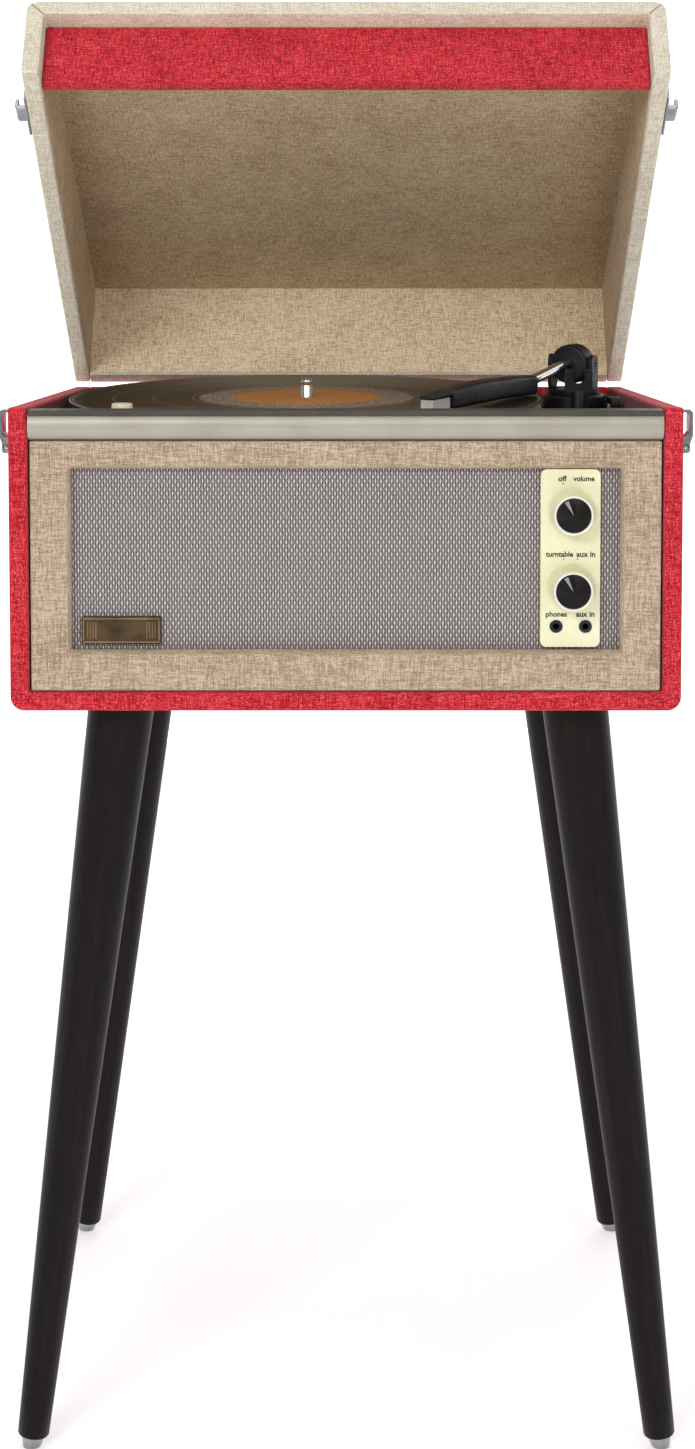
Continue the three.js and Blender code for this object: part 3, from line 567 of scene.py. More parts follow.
def loops_mesh(name, loops, closed=False, bodies=1):
    """Equal loops of points joined in turn, with a cap at both ends, or with the last joined to the
    first. The loops may be those of several separate bodies, in order."""
    count = len(loops[0])
    rows = len(loops) // bodies
    faces = []
    for start in range(0, len(loops), rows):
        pairs = [(start + row, start + row + 1) for row in range(rows - 1)]
        if closed:
            pairs.append((start + rows - 1, start))
        else:
            faces += [[row * count + i for i in range(count)] for row in (start, start + rows - 1)]
        for first, second in pairs:
            a, b = first * count, second * count
            faces += [[a + i, a + (i + 1) % count, b + (i + 1) % count, b + i] for i in range(count)]
    return mesh_of(name, [point for loop in loops for point in loop], faces)


def lathe(name, profile, count, waves=None):
    """A profile of (radius, height) points turned about Z, from bottom to top. A radius of 0 is a pole;
    otherwise the last ring joins the first, as on a washer. waves gives a ripple to a profile point."""
    verts, rings = [], []
    for step, (radius, height) in enumerate(profile):
        size = count if radius else 1
        rings.append([len(verts) + i % size for i in range(count)])
        wave = (waves or {}).get(step)
        for i in range(size):
            turn = 2 * math.pi * i / count
            r = radius + wave(turn) if wave else radius
            verts.append((r * math.cos(turn), r * math.sin(turn), height))
    pairs = list(zip(rings, rings[1:]))
    if profile[0][0] != 0:
        pairs.append((rings[-1], rings[0]))
    faces = []
    for low, high in pairs:
        for i in range(count):
            j = (i + 1) % count
            face = list(dict.fromkeys((low[i], low[j], high[j], high[i])))
            if len(face) > 2:
                faces.append(face)
    return mesh_of(name, verts, faces)


def turned(name, profile, count, body, material, slot, matrix=None, waves=None, replaces=(), sharp=35):
    """A turned piece, finished and placed."""
    return place(name, lathe(name, profile, count, waves), body, material, slot, replaces, matrix, sharp)


def in_mm(*points):
    """Points given in millimetres."""
    return [(first * MM, second * MM) for first, second in points]


def flutes(count, depth):
    """A ripple of narrow grooves round a turned piece."""
    return lambda turn: -depth * (0.5 + 0.5 * math.cos(count * turn))


def upright(x0, x1, z0, z1, y):
    """The corners of a rectangle on the plane y."""
    return [(x0, y, z0), (x1, y, z0), (x1, y, z1), (x0, y, z1)]


def block(name, xs, ys, zs):
    """A box mesh between pairs of limits, for pieces that get their edges rounded afterwards."""
    corners = ((xs[0], ys[0]), (xs[1], ys[0]), (xs[1], ys[1]), (xs[0], ys[1]))
    return loops_mesh(name, [[(x, y, z) for x, y in corners] for z in zs])


def local_points(node, matrix=None):
    """A CAD node's corners, in the frame given by matrix."""
    back = matrix.inverted() if matrix is not None else Matrix.Identity(4)
    return [back @ v.co for v in frame["nodes"][node].data.vertices]


def span(points, axis):
    values = [p[axis] for p in points]
    return min(values), max(values)


def top_near(points, y):
    """The greatest height among the points that lie within half a millimetre of y."""
    return max(p.z for p in points if abs(p.y - y) < 0.5 * MM)


def under_near(points, y):
    """The least height among the points that lie within half a millimetre of y."""
    return min(p.z for p in points if abs(p.y - y) < 0.5 * MM)


def mean(points):
    return sum(points, Vector()) / len(points)


def standing(foot, top):
    """A frame at one point with its Z toward another, and the distance between them."""
    axis = top - foot
    turn = Vector((0, 0, 1)).rotation_difference(axis).to_matrix().to_4x4()
    return Matrix.Translation(foot) @ turn, axis.length


def arc(centre_x, centre_z, radius, start, end, steps):
    """Points (x, z) on an arc, with its angles in degrees."""
    made = []
    for i in range(steps + 1):
        turn = math.radians(start + (end - start) * i / steps)
        made.append((centre_x + radius * math.cos(turn), centre_z + radius * math.sin(turn)))
    return made


def channel(name, half, wall, floor, corner, stations):
    """Two walls and a floor in one wrapped shell. A station is (y, open edge's z, floor's outer z)."""
    loops = []
    for y, opened, closed in stations:
        side = 1 if closed > opened else -1
        centre = closed - side * corner
        turn = arc(half - corner, 0, corner, 0, 90, 8)
        right = [(x, centre + side * z) for x, z in turn]
        left = [(-x, z) for x, z in reversed(right)]
        inner = closed - side * floor
        bore = [(wall - half, opened), (wall - half, inner), (half - wall, inner), (half - wall, opened)]
        section = [(half, opened)] + right + left + [(-half, opened)] + bore
        loops.append([(x, y, z) for x, z in section])
    return loops_mesh(name, loops)


# ---- frames of the moving groups

case_points = local_points("case_right_side")
CASE_X = span(case_points, 0)[1]
CASE_INNER_X = span(case_points, 0)[0]
CASE_FRONT, CASE_REAR = span(case_points, 1)
CASE_BASE = span(case_points, 2)[0]
CASE_FRONT_TOP = top_near(case_points, CASE_FRONT)
CASE_REAR_TOP = top_near(case_points, CASE_REAR)
WALL = CASE_X - CASE_INNER_X

split_angle = math.atan((CASE_FRONT_TOP - CASE_REAR_TOP) / (CASE_REAR - CASE_FRONT))
lid_angle = split_angle - math.radians(JOINTS["lid_hinge"]["range_deg"][0])
LID = Matrix.Translation(JOINTS["lid_hinge"]["pos_m"]) @ Matrix.Rotation(-lid_angle, 4, "X")

arm_axis = JOINTS["tonearm_lift"]["axis"]
arm_pivot = Vector(JOINTS["tonearm_lift"]["pos_m"])
arm_angle = math.atan2(arm_axis[0], -arm_axis[1])
ARM = Matrix.Translation(arm_pivot) @ Matrix.Rotation(arm_angle, 4, "Z")

FACE_FRONT = Matrix.Rotation(math.pi / 2, 4, "X")
FACE_REAR = Matrix.Rotation(-math.pi / 2, 4, "X")


def facing_front(x, y, z):
    return Matrix.Translation((x, y, z)) @ FACE_FRONT


# ---- case and lid

def build_case():
    mesh = channel(
        "case_wrap", CASE_X, WALL, WALL, 8 * MM,
        [(CASE_FRONT, CASE_FRONT_TOP, CASE_BASE), (CASE_REAR, CASE_REAR_TOP, CASE_BASE)],
    )
    walls = ("case_left_side", "case_right_side", "case_bottom")
    case = place("case_wrap", mesh, "root", "red_cloth", "red_cloth", walls, sharp=60)
    round_edges(case, 1.6 * MM, 4)
    rounded("case_rear_panel", 0.8 * MM)
    for side in (-1, 1):
        build_shaded_side_lining(side)


def build_shaded_side_lining(side):
    """A thin skin of red cloth on the inner face of a case side, above the deck, darkened as painted shade from
    the lid.
    """
    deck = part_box("deck_plate")[1].z
    y0, y1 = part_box("front_trim")[1].y + 0.5 * MM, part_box("case_rear_panel")[0].y - 0.5 * MM
    rise = (CASE_FRONT_TOP - CASE_REAR_TOP) / (CASE_REAR - CASE_FRONT)
    low = deck + 0.1 * MM
    tops = [CASE_FRONT_TOP - rise * (y - CASE_FRONT) - 1.8 * MM for y in (y0, y1)]
    outline = ((y0, low), (y1, low), (y1, tops[1]), (y0, tops[0]))
    faces_x = (side * CASE_INNER_X, side * (CASE_INNER_X - 0.3 * MM))
    name = "case_shaded_lining_" + ("left" if side < 0 else "right")
    mesh = loops_mesh(name, [[(x, y, z) for y, z in outline] for x in faces_x])
    place(name, mesh, "root", "dark_red_cloth", "red_cloth", sharp=30)


def build_lid():
    side = local_points("lid_right_side", LID)
    top = local_points("lid_top_panel", LID)
    wall = span(side, 0)[1] - span(side, 0)[0]
    front, rear = span(side, 1)
    rim = span(side, 2)[0]
    thick = top_near(top, front) - under_near(top, front)
    stations = [(front, rim, top_near(side, front)), (rear, rim, top_near(side, rear))]
    mesh = channel("lid_wrap", CASE_X, wall, thick, 7 * MM, stations)
    boards = ("lid_left_side", "lid_right_side", "lid_top_panel")
    lid = place("lid_wrap", mesh, "lid", "cream_cloth", "cream_cloth", boards, LID, 60)
    round_edges(lid, 1.4 * MM, 4)
    build_shaded_lining(side, top, CASE_X - wall)
    for way in (-1, 1):
        build_seam(way, front, CASE_X - wall, top_near(side, front), thick)
    rounded("lid_rear_wall", 0.8 * MM, matrix=LID)
    rounded("lid_front_panel", 1.3 * MM, matrix=LID, segments=3)


def build_seam(way, front, half, top, thick):
    """The mitred joint in the cloth at a front corner of the lid."""
    start = Vector((half + 0.2 * MM, 0, top - thick - 0.2 * MM))
    end = Vector((CASE_X - 2.4 * MM, 0, top - 2.2 * MM))
    across = Vector((end.z - start.z, 0, start.x - end.x)).normalized() * 0.22 * MM
    corners = (start - across, start + across, end + across, end - across)
    depths = (front - 0.12 * MM, front + 0.5 * MM)
    name = "lid_seam_" + ("left" if way < 0 else "right")
    mesh = loops_mesh(name, [[(way * at.x, y, at.z) for at in corners] for y in depths])
    place(name, mesh, "lid", "seam_thread", "cream_cloth", matrix=LID)


def build_shaded_lining(side, top, half):
    """A thin skin inside the lid, from behind the front panel to the rear wall: the lid's cream cloth darkened to
    tan as painted shade, with a lighter piece on the rear wall as painted light.
    """
    skin = 0.4 * MM
    low_y = span(local_points("lid_front_panel", LID), 1)[1] + 0.4 * MM
    high_y = span(local_points("lid_rear_wall", LID), 1)[0] - 0.2 * MM
    front, rear = span(top, 1)
    inner_front, inner_rear = under_near(top, front), under_near(top, rear)
    slope = (inner_rear - inner_front) / (rear - front)
    rim = span(side, 2)[0] + 1.6 * MM
    stations = [(y, rim, inner_front + slope * (y - front)) for y in (low_y, high_y)]
    mesh = channel("lid_shaded_skin", half, skin, skin, 2 * MM, stations)
    # The skin's tan is painted shade on the lid's cream cloth.
    place("lid_shaded_skin", mesh, "lid", "lining_cloth", "cream_cloth", matrix=LID, sharp=60)
    inset = half - skin - 0.1 * MM
    back = block("lid_rear_lit_skin", (-inset, inset), (high_y - skin, high_y + 0.25 * MM),
                 (rim, inner_rear - skin - 0.3 * MM))
    # The rear wall's skin is lighter as painted light.
    place("lid_rear_lit_skin", back, "lid", "rear_lining_cloth", "cream_cloth", matrix=LID)


# ---- front

def weave_height(x, z):
    """The relief of the grille cloth, from 0 to 1, with the threads of its material."""
    u, v = x / (WARP * MM), z / (WEFT * MM)
    near_u, near_v = round(u), round(v)

    def thread(off, width, lift):
        return max(0.0, 1 - abs(off / width) ** 2) * (1 - DIP + DIP * lift)

    warp_lift = math.cos(math.pi * near_u) * math.cos(math.pi * v)
    weft_lift = -math.cos(math.pi * u) * math.cos(math.pi * near_v)
    warp = thread(u - near_u, WARP_HALF, warp_lift)
    weft = thread(v - near_v, WEFT_HALF, weft_lift)
    return max(warp, weft)


def build_grille():
    """A stretched cloth whose threads stand up as real relief. It is left open behind the plate."""
    low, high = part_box("grille_cloth")
    plate_low, plate_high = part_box("control_plate")
    margin = 5 * MM
    relief = 0.4 * MM
    step_x, step_z = WARP * MM / 2, WEFT * MM / 4
    columns = int((high.x - low.x) / step_x)
    rows = int((high.z - low.z) / step_z)
    first_x = math.ceil(low.x / step_x) * step_x
    first_z = math.ceil(low.z / step_z) * step_z

    made = bmesh.new()
    grid = []
    for row in range(rows):
        z = first_z + row * step_z
        line = []
        for column in range(columns):
            x = first_x + column * step_x
            line.append(made.verts.new((x, low.y + relief * (1 - weave_height(x, z)), z)))
        grid.append(line)
    for row in range(rows - 1):
        for column in range(columns - 1):
            corner = grid[row][column].co
            behind_x = plate_low.x + margin < corner.x < plate_high.x - margin
            behind_z = plate_low.z + margin < corner.z < plate_high.z - margin
            if behind_x and behind_z:
                continue
            near, far = grid[row], grid[row + 1]
            made.faces.new((near[column], near[column + 1], far[column + 1], far[column]))
    loose = [v for v in made.verts if not v.link_faces]
    bmesh.ops.delete(made, geom=loose, context="VERTS")
    mesh = bpy.data.meshes.new("grille_weave")
    made.to_mesh(mesh)
    made.free()
    weave = place(
        "grille_weave", mesh, "root", "grille_fabric", "grille_fabric", ("grille_cloth",), sharp=180
    )


def build_front_frame():
    """The cloth-covered baffle, with its opening's edges cut back to the grille."""
    outer = local_points("front_baffle")
    high_x = span(outer, 0)[1]
    front, back = span(outer, 1)
    low_z, high_z = span(outer, 2)
    inside = [p for p in outer if abs(p.x) < high_x - MM and low_z + MM < p.z < high_z - MM]
    in_x = span(inside, 0)[1]
    in_low, in_high = span(inside, 2)
    slant = 1.8 * MM
    rings = (
        (high_x, low_z, high_z, back), (high_x, low_z, high_z, front),
        (in_x + slant, in_low - slant, in_high + slant, front),
        (in_x, in_low, in_high, front + 3.2 * MM), (in_x, in_low, in_high, back),
    )
    loops = [upright(-half, half, z0, z1, y) for half, z0, z1, y in rings]
    mesh = loops_mesh("front_frame", loops, closed=True)
    piece = place("front_frame", mesh, "root", "front_cloth", "front_cloth", ("front_baffle",), sharp=60)
    round_edges(piece, 1.0 * MM, 3, 20)


def build_trim():
    """Half-round strip along the top of the front, with slightly rounded ends, and a dark strip on its top as
    painted shade.
    """
    low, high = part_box("front_trim")
    middle = (low.z + high.z) / 2
    rise = (high.z - low.z) / 2
    flat = low.y + 6.5 * MM
    section = [(high.y, low.z), (high.y, high.z)]
    for i in range(25):
        turn = math.pi / 2 + math.pi * i / 24
        section.append((flat + (flat - low.y) * math.cos(turn), middle + rise * math.sin(turn)))
    mesh = loops_mesh("trim_strip", [[(x, y, z) for y, z in section] for x in (low.x, high.x)])
    strip = place("trim_strip", mesh, "root", "champagne_trim", "champagne_trim", ("front_trim",), sharp=40)
    round_edges(strip, 0.5 * MM, 2, 40)
    # A dark strip on top of the trim: painted shade along the trim's upper face and the gap behind it.
    shade_band = block("trim_shade_strip", (low.x + 0.4 * MM, high.x - 0.4 * MM), (low.y + 1.1 * MM, high.y),
                (high.z - 2.6 * MM, high.z + 0.7 * MM))
    round_edges(place("trim_shade_strip", shade_band, "root", "lip_metal", "black_plastic"), 0.5 * MM, 3)


def label(name, words, width, x, z, y):
    """Flat printed words of a given width, centred at x and z on the plane y, facing the front."""
    text = bpy.data.curves.new(name, "FONT")
    text.body = words
    text.align_x = "CENTER"
    text.align_y = "CENTER"
    text.resolution_u = 3
    text.offset = 0.03
    made = link(bpy.data.objects.new(name + "_text", text))
    bpy.context.view_layer.update()
    mesh = bpy.data.meshes.new_from_object(made.evaluated_get(bpy.context.evaluated_depsgraph_get()))
    bpy.data.objects.remove(made)
    mesh.name = name
    low, high = span([v.co for v in mesh.vertices], 0)
    size = width / (high - low)
    matrix = facing_front(x, y, z) @ Matrix.Scale(size, 4)
    mesh.transform(matrix)
    place(name, mesh, "root", "printed_ink")


def printed_dot(name, x, z, y):
    disc = in_mm((0, 0), (0.42, 0), (0.42, 0.05), (0, 0.05))
    turned(name, disc, 16, "root", "printed_ink", None, facing_front(x, y, z))


def build_control_plate():
    rounded("control_plate", 1.2 * MM, segments=4)
    low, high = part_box("control_plate")
    x = (low.x + high.x) / 2
    y = low.y - 0.06 * MM
    words = [
        ("off", "off", 4.8, -4.9, 5.5),
        ("volume", "volume", 12.2, 7.5, 5.5),
        ("turntable", "turntable", 15.6, -6.2, 49.0),
        ("source", "aux in", 10.8, 8.9, 49.0),
        ("phones", "phones", 12.2, -7.9, 83.6),
        ("aux", "aux in", 10.6, 8.8, 83.6),
    ]
    for name, text, width, right, down in words:
        label("label_" + name, text, width * MM, x + right * MM, high.z - down * MM, y)
    dots = [("off", -4.4, 8.2), ("turntable", -3.9, 51.6), ("source", 4.1, 51.6)]
    for name, right, down in dots:
        printed_dot("dot_" + name, x + right * MM, high.z - down * MM, y)


def glint_dial_mark(name, reach, turn, half, top):
    """A narrow pale wedge from the middle of a knob's face to near its rim, lying on the cone: a painted highlight
    of the turned face that also serves as the knob's pointer.
    """
    fall, run = 0.9, 9.2
    slope = fall / run
    lift, sunk = 0.05 * MM, -0.3 * MM
    flat = [(0.2 * MM, turn)] + [(reach, turn + half * (i - 3) / 3) for i in range(7)]
    loops = []
    for level in (lift, sunk):
        peak = top - 0.03 * MM + level
        loops.append([(r * math.cos(a), r * math.sin(a), peak - slope * r) for r, a in flat])
    return loops_mesh(name, loops)


def build_knob(node):
    """A ribbed ivory skirt that tapers to a pale rim, and a black turned face set into it."""
    low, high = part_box(node)
    middle = (low + high) / 2
    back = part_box("control_plate")[0].y - 0.4 * MM
    long = (back - low.y) / MM
    matrix = facing_front(middle.x, back, middle.z)
    ribs = 56
    ripple = flutes(ribs, 0.28 * MM)
    skirt = in_mm(
        (3, 0), (13.0, 0), (13.5, 0.4), (13.5, 1.4), (13.2, 1.9),
        (11.7, long - 3.2), (11.6, long - 2.4), (11.3, long - 1.7), (3, long - 1.7),
    )
    waves = {4: ripple, 5: ripple}
    body = BODIES[node]
    ivory = "ivory_plastic"
    turned(node + "_skirt", skirt, ribs * 5, body, ivory, ivory, matrix, waves, (node,))
    rim = in_mm(
        (9.9, long - 1.6), (11.4, long - 1.6), (11.35, long - 0.7), (11.0, long - 0.15),
        (10.65, long), (10.2, long - 0.2), (9.9, long - 0.9),
    )
    turned(node + "_rim", rim, 96, body, "pale_rim", ivory, matrix)
    face = in_mm(
        (0, long - 1.55), (9.85, long - 1.55), (9.85, long - 1.1),
        (9.5, long - 0.95), (0.3, long - 0.05), (0, long - 0.03),
    )
    turned(node + "_face", face, 96, body, "spun_cap", "black_plastic", matrix, sharp=25)
    # The pale wedge is a painted highlight of the black face, also used as the pointer.
    mesh = glint_dial_mark(node + "_glint_dial_mark", 9.0 * MM, math.radians(118), math.radians(8), long * MM)
    place(node + "_glint_dial_mark", mesh, body, "platter_metal", "ivory_plastic", matrix=matrix)


def build_jack(node):
    """A black socket with a rounded lip and an open bore, in a pale ring."""
    low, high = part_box(node)
    middle = (low + high) / 2
    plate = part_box("control_plate")[0].y
    rounded(node, 0.35 * MM, segments=3)
    ring = in_mm((3.7, -0.3), (4.7, -0.3), (4.7, 0.25), (4.5, 0.5), (4.0, 0.6), (3.7, 0.4))
    matrix = facing_front(middle.x, plate, middle.z)
    turned(node + "_ring", ring, 64, "root", "pale_rim", "ivory_plastic", matrix)


def build_badge():
    """A plain bronze plate with a raised border and upright ribs at both ends, the relief lighter as a painted
    highlight.
    """
    rounded("name_plate", 0.4 * MM)
    low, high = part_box("name_plate")
    border = 1.3 * MM
    loops = []

    def bar(x0, x1, z0, z1, rise):
        for y, inset in ((low.y, 0), (low.y - rise, 0.35 * MM)):
            loops.append(upright(x0 + inset, x1 - inset, z0 + inset, z1 - inset, y))

    edge = 0.5 * MM
    bar(low.x + edge, high.x - edge, high.z - edge - border, high.z - edge, 0.55 * MM)
    bar(low.x + edge, high.x - edge, low.z + edge, low.z + edge + border, 0.55 * MM)
    for side_x in (low.x + edge, high.x - edge - border):
        bar(side_x, side_x + border, low.z + edge + border, high.z - edge - border, 0.55 * MM)
    for i in range(4):
        rib = 1.6 * MM * (i + 1)
        for start in (low.x + border + rib, high.x - border - rib - 0.9 * MM):
            bar(start, start + 0.9 * MM, low.z + 3 * MM, high.z - 3 * MM, 0.35 * MM)
    mesh = loops_mesh("badge_relief", loops, bodies=len(loops) // 2)
    # The relief gets the lighter bronze as a painted highlight.
    place("badge_relief", mesh, "root", "bronze_edge", "bronze_badge")


# ---- turntable

def build_turntable():
    rounded("deck_plate", 0.6 * MM, material="deck_plastic")
    low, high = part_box("record")
    centre = Vector(((low.x + high.x) / 2, (low.y + high.y) / 2, 0))
    radius, top, under = (high.x - low.x) / 2 / MM, high.z / MM, low.z / MM
    at = Matrix.Translation(centre)

    def disc(name, node, profile, count, material):
        slot = SLOTS[node]
        return turned(name, profile, count, BODIES[node], material, slot, at, replaces=(node,))

    bore, bead = 3.85, 0.25
    paper_top = top - bead * 0.6
    vinyl = in_mm(
        (bore, under + 0.2), (radius - 2, under + 0.2), (radius - 0.9, under),
        (radius - 0.2, under + 0.4), (radius, (top + under) / 2), (radius - 0.2, top - 0.4),
        (radius - 0.9, top), (radius - 2.4, top - bead),
        (INNER_RING_R + 1, top - bead), (INNER_RING_R, top - bead * 1.4),
        (LABEL_R + 1, top - bead * 1.4), (LABEL_R, paper_top),
        (17.5, paper_top), (16.8, top - bead), (15.8, paper_top), (bore + 0.4, paper_top),
        (bore, top - bead),
    )
    disc("record_disc", "record", vinyl, 192, "vinyl")

    low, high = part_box("slipmat")
    mat_r = (high.x - low.x) / 2
    rounding = 0.3 * MM
    mat = [
        (bore * MM, low.z), (mat_r - rounding, low.z), (mat_r, (low.z + high.z) / 2),
        (mat_r - rounding, high.z), (bore * MM, high.z),
    ]
    sheet = disc("slipmat_felt", "slipmat", mat, 128, "felt")

    rounded("platter", 0.4 * MM)
    build_spindle(centre)
    build_speed_knob()


def build_spindle(centre):
    low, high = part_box("spindle")
    foot, top, flange, r = low.z / MM, high.z / MM, (high.x - low.x) / 2 / MM, 3.55
    profile = in_mm(
        (0, foot), (flange, foot), (flange, foot + 2), (r + 0.3, foot + 3), (r, foot + 4),
        (r, top - 5.2), (r - 0.12, top - 5.0), (r - 0.12, top - 4.6), (r, top - 4.4), (r, top - 2),
        (r - 0.35, top - 1.1), (r - 1.2, top - 0.35), (0, top),
    )
    matrix = Matrix.Translation(centre)
    turned("spindle_pin", profile, 48, "root", "chrome", "chrome", matrix, replaces=("spindle",))


def build_speed_knob():
    low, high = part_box("speed_knob")
    deck, foot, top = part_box("deck_plate")[1].z / MM, low.z / MM, high.z / MM
    centre = Matrix.Translation(((low.x + high.x) / 2, (low.y + high.y) / 2, 0))
    ribs = 22
    ripple = flutes(ribs, 0.3 * MM)
    profile = in_mm(
        (0, foot), (3, foot), (3, deck + 0.3), (7.6, deck + 0.3), (8, deck + 0.8), (8, deck + 2.2),
        (7.6, deck + 3), (6.3, top - 3), (6.1, top - 0.9), (5.85, top - 0.2), (5.4, top),
        (0, top - 0.2),
    )
    waves = {6: ripple, 7: ripple}
    ivory, node = "ivory_plastic", "speed_knob"
    turned("speed_knob_cap", profile, ribs * 6, node, ivory, ivory, centre, waves, (node,))


# ---- tonearm

def superellipse(half_y, low_z, high_z, count, power):
    """A rounded rectangle of (y, z) points."""
    middle, half_z = (low_z + high_z) / 2, (high_z - low_z) / 2
    points = []
    for i in range(count):
        turn = 2 * math.pi * i / count
        c, s = math.cos(turn), math.sin(turn)
        y = half_y * math.copysign(abs(c) ** (2 / power), c)
        z = middle + half_z * math.copysign(abs(s) ** (2 / power), s)
        points.append((y, z))
    return points


def loft(name, stations, count=40, power=4.5):
    """Sections along X, each (x, half width, bottom, top), closed at both ends."""
    loops = []
    for x, half, low, high in stations:
        loops.append([(x, y, z) for y, z in superellipse(half, low, high, count, power)])
    return loops_mesh(name, loops)


def eased(keys, x):
    """A value through (x, value) keys, part straight and part smooth between them."""
    share = 0.4
    for (x0, v0), (x1, v1) in zip(keys, keys[1:]):
        if x <= x1:
            t = (x - x0) / (x1 - x0)
            curve = (3 - 2 * t) * t * t
            return v0 + (v1 - v0) * (share * curve + (1 - share) * t)
    return keys[-1][1]


def build_head_cover():
    """The long cover over the front of the arm: crowned, narrowed in plan, stepped at the cartridge."""
    points = local_points("head_cover", ARM)
    rear, front = span(points, 0)
    rear_floor = span(points, 2)[0]
    ledge = min(p.z for p in points if p.x > front - MM)
    step = max(p.x for p in points if p.z < ledge - MM)
    floor = min(p.z for p in points if abs(p.x - step) < 0.5 * MM)
    tops = [
        (rear, 11.1 * MM), (rear + 37 * MM, 12.9 * MM), (rear + 78 * MM, 13.9 * MM),
        (front - 22 * MM, 12.3 * MM), (front, 9.9 * MM),
    ]
    halves = [(rear, 6.4 * MM), (rear + 82 * MM, 7.4 * MM), (front, 5.0 * MM)]

    def low(x):
        return floor - (floor - rear_floor) * max(0.0, 1 - (x - rear) / (50 * MM))

    stations = [(rear, 5.4 * MM, rear_floor + 1.2 * MM, floor + 10.2 * MM)]
    for i in range(27):
        x = rear + 0.8 * MM + (step - rear - 0.8 * MM) * i / 26
        stations.append((x, eased(halves, x), low(x), floor + eased(tops, x)))
    for i in range(8):
        x = step + 0.15 * MM + (front - 0.9 * MM - step) * i / 7
        stations.append((x, eased(halves, x), ledge, floor + eased(tops, x)))
    stations.append((front, 3.9 * MM, ledge + 0.7 * MM, floor + 8.8 * MM))
    mesh = loft("head_shell", stations)
    place("head_shell", mesh, "tonearm", "black_plastic", "black_plastic", ("head_cover",), ARM, 40)


def build_arm_tube():
    """A straight chrome bar with small rounded ends."""
    points = local_points("tonearm_tube", ARM)
    ends = []
    for pick in (min, max):
        x = pick(p.x for p in points)
        ends.append(ARM @ mean([p for p in points if abs(p.x - x) < 1.2 * MM]))
    matrix, reach = standing(*ends)
    r, long, edge = 3.35, reach / MM, 0.5
    profile = in_mm((0, 0), (r - edge, 0), (r, edge), (r, long - edge), (r - edge, long), (0, long))
    turned("arm_tube", profile, 48, "tonearm", "chrome", "chrome", matrix, replaces=("tonearm_tube",))


def build_tonearm():
    for node, width in (
        ("tonearm_base", 0.8), ("tonearm_turret", 0.6), ("cue_lever", 0.7), ("arm_rest", 0.8),
        ("tonearm_collar", 0.7),
    ):
        rounded(node, width * MM, segments=3)
    rounded("cartridge", 0.5 * MM, segments=3)
    build_head_cover()
    build_arm_tube()


# ---- legs

def settle(mesh, matrix, low, high, shift):
    """Slides the vertices between two heights along the slant, so that they stand level. Each ends at
    its own height plus shift, measured from the floor."""
    rise = (matrix.to_3x3() @ Vector((0, 0, 1))).z
    for vertex in mesh.vertices:
        if low < vertex.co.z < high:
            vertex.co.z += (max(0.0, vertex.co.z + shift) - (matrix @ vertex.co).z) / rise


def build_leg(end, side):
    """A smooth turned leg that tapers along its slant and is cut level under the case."""
    leg, glide = f"leg_{end}_{side}", f"glide_{end}_{side}"
    under_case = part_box(leg)[1].z
    top = mean([p for p in local_points(leg) if p.z > under_case - 0.1 * MM])
    foot = mean([p for p in local_points(glide) if p.z < 0.1 * MM])
    matrix, long = standing(foot, top)
    foot_r, top_r, low_end = 9.2 * MM, 19.5 * MM, 7 * MM
    shoulder = low_end + 1.5 * MM
    profile = [(0, low_end), (foot_r - 2.2 * MM, low_end), (foot_r - 0.7 * MM, low_end + 0.35 * MM)]
    for i in range(25):
        t = i / 24
        profile.append((foot_r + (top_r - foot_r) * t, shoulder + (long - shoulder) * t))
    profile.append((0, long))
    mesh = lathe(leg + "_turned", profile, 64)
    settle(mesh, matrix, long - 0.1 * MM, 2 * long, under_case - long)
    place(leg + "_turned", mesh, "root", "dark_wood", "dark_wood", (leg,), matrix, 30)
    build_glide(glide, matrix)


def build_glide(glide, matrix):
    """The metal cap under a leg, with its lowest face level on the floor."""
    base = 0.6
    cap = in_mm((0, base), (4.2, base), (5.3, base + 0.5), (6.3, 4.4), (6.4, 5.0), (6.4, 6.7), (0, 6.7))
    mesh = lathe(glide + "_cap", cap, 48)
    settle(mesh, matrix, 0.0, (base + 0.6) * MM, -base * MM)
    place(glide + "_cap", mesh, "root", "steel", "steel", (glide,), matrix)


# ---- small fittings

def build_screw(name, body, matrix):
    """A domed screw head with a cross recess, standing on the matrix's Z."""
    head = in_mm((0, -0.2), (2.0, -0.2), (2.0, 0.15), (1.7, 0.5), (1.0, 0.75), (0, 0.8))
    mesh = lathe(name, head, 32)
    for vertex in mesh.vertices:
        near = min(abs(vertex.co.x), abs(vertex.co.y))
        if near < 0.3 * MM and vertex.co.z > 0.4 * MM:
            vertex.co.z = 0.35 * MM
    place(name, mesh, body, "nickel", "steel", matrix=matrix)


def build_hinge_screws(side):
    """Two screws in each leaf of a hinge, driven from behind."""
    low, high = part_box(f"hinge_{side}_case_leaf")
    leaf_y = span([p for p in local_points(f"hinge_{side}_case_leaf") if p.z < low.z + MM], 1)[1]
    middle = (low.x + high.x) / 2
    lid_points = local_points(f"hinge_{side}_lid_leaf", LID)
    top = span(lid_points, 2)[1]
    plate = [p for p in lid_points if p.z > top - MM]
    outer_y = span(plate, 1)[1]
    for number, shift in enumerate((-12 * MM, 12 * MM)):
        spot = Matrix.Translation((middle + shift, leaf_y, low.z + 8 * MM))
        build_screw(f"hinge_{side}_case_screw_{number + 1}", "root", spot @ FACE_REAR)
        spot = LID @ Matrix.Translation((middle + shift, outer_y, top - 8 * MM))
        build_screw(f"hinge_{side}_lid_screw_{number + 1}", "lid", spot @ FACE_REAR)


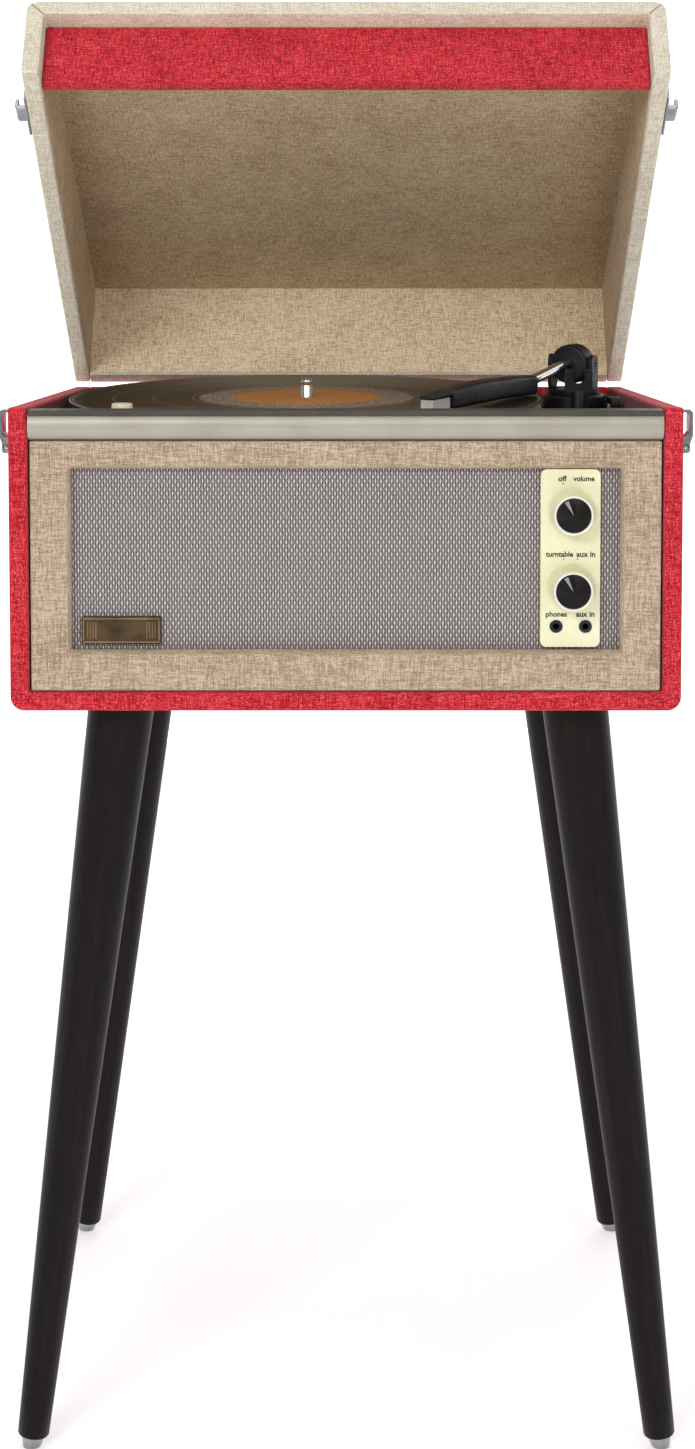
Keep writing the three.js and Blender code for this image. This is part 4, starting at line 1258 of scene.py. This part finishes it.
def build_rear_connectors():
    """The rear plate with a coloured collar and a metal sleeve on each output, and a ringed inlet."""
    rounded("rear_connector_plate", 0.5 * MM)
    low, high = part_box("rear_connector_plate")
    points = local_points("rear_connector_plate")
    face = span([p for p in points if p.z > high.z - MM], 1)[1]
    z = (low.z + high.z) / 2
    for name, right, collar in (("left", 47, "pale_rim"), ("right", 67, "red_collar")):
        at = Matrix.Translation((low.x + right * MM, face, z)) @ FACE_REAR
        ring = in_mm((4.25, 0.02), (7.2, 0.02), (7.2, 1.1), (6.8, 1.5), (4.6, 1.5), (4.25, 1.2))
        turned(f"output_{name}_collar", ring, 48, "root", collar, "ivory_plastic", at)
        sleeve = in_mm((4.2, 1.6), (4.75, 1.6), (4.75, 7.2), (4.5, 7.9), (4.2, 7.9))
        turned(f"output_{name}_sleeve", sleeve, 48, "root", "nickel", "steel", at)
    at = Matrix.Translation((low.x + 20 * MM, face, z)) @ FACE_REAR
    ring = in_mm((5.7, 0.02), (8.4, 0.02), (8.4, 0.8), (8.0, 1.3), (6.1, 1.3), (5.7, 1.0))
    turned("inlet_ring", ring, 48, "root", "nickel", "steel", at)


def build_fittings():
    for side in ("left", "right"):
        rounded(f"latch_{side}_base", 0.35 * MM, "nickel", 3)
        rounded(f"latch_{side}_lever", 0.4 * MM, "nickel", 3)
        rounded(f"latch_{side}_keeper", 0.5 * MM, "nickel", 3, LID)
        rounded(f"hinge_{side}_case_leaf", 0.25 * MM)
        rounded(f"hinge_{side}_lid_leaf", 0.25 * MM, matrix=LID)
        build_hinge_screws(side)
    build_rear_connectors()
    for name in ("phones_jack", "aux_jack"):
        build_jack(name)


def finish_cad_nodes():
    """Every CAD node that still shows keeps its shape and gets its slot's material."""
    for name, node in frame["nodes"].items():
        if node.hide_render:
            continue
        node.data.materials.clear()
        node.data.materials.append(MATERIALS[SLOTS[name]])


build_case()
build_lid()
build_grille()
build_front_frame()
build_trim()
build_control_plate()
build_knob("volume_knob")
build_knob("selector_knob")
build_badge()
build_turntable()
build_tonearm()
for leg_end in ("front", "rear"):
    for leg_side in ("left", "right"):
        build_leg(leg_end, leg_side)
build_fittings()
finish_cad_nodes()
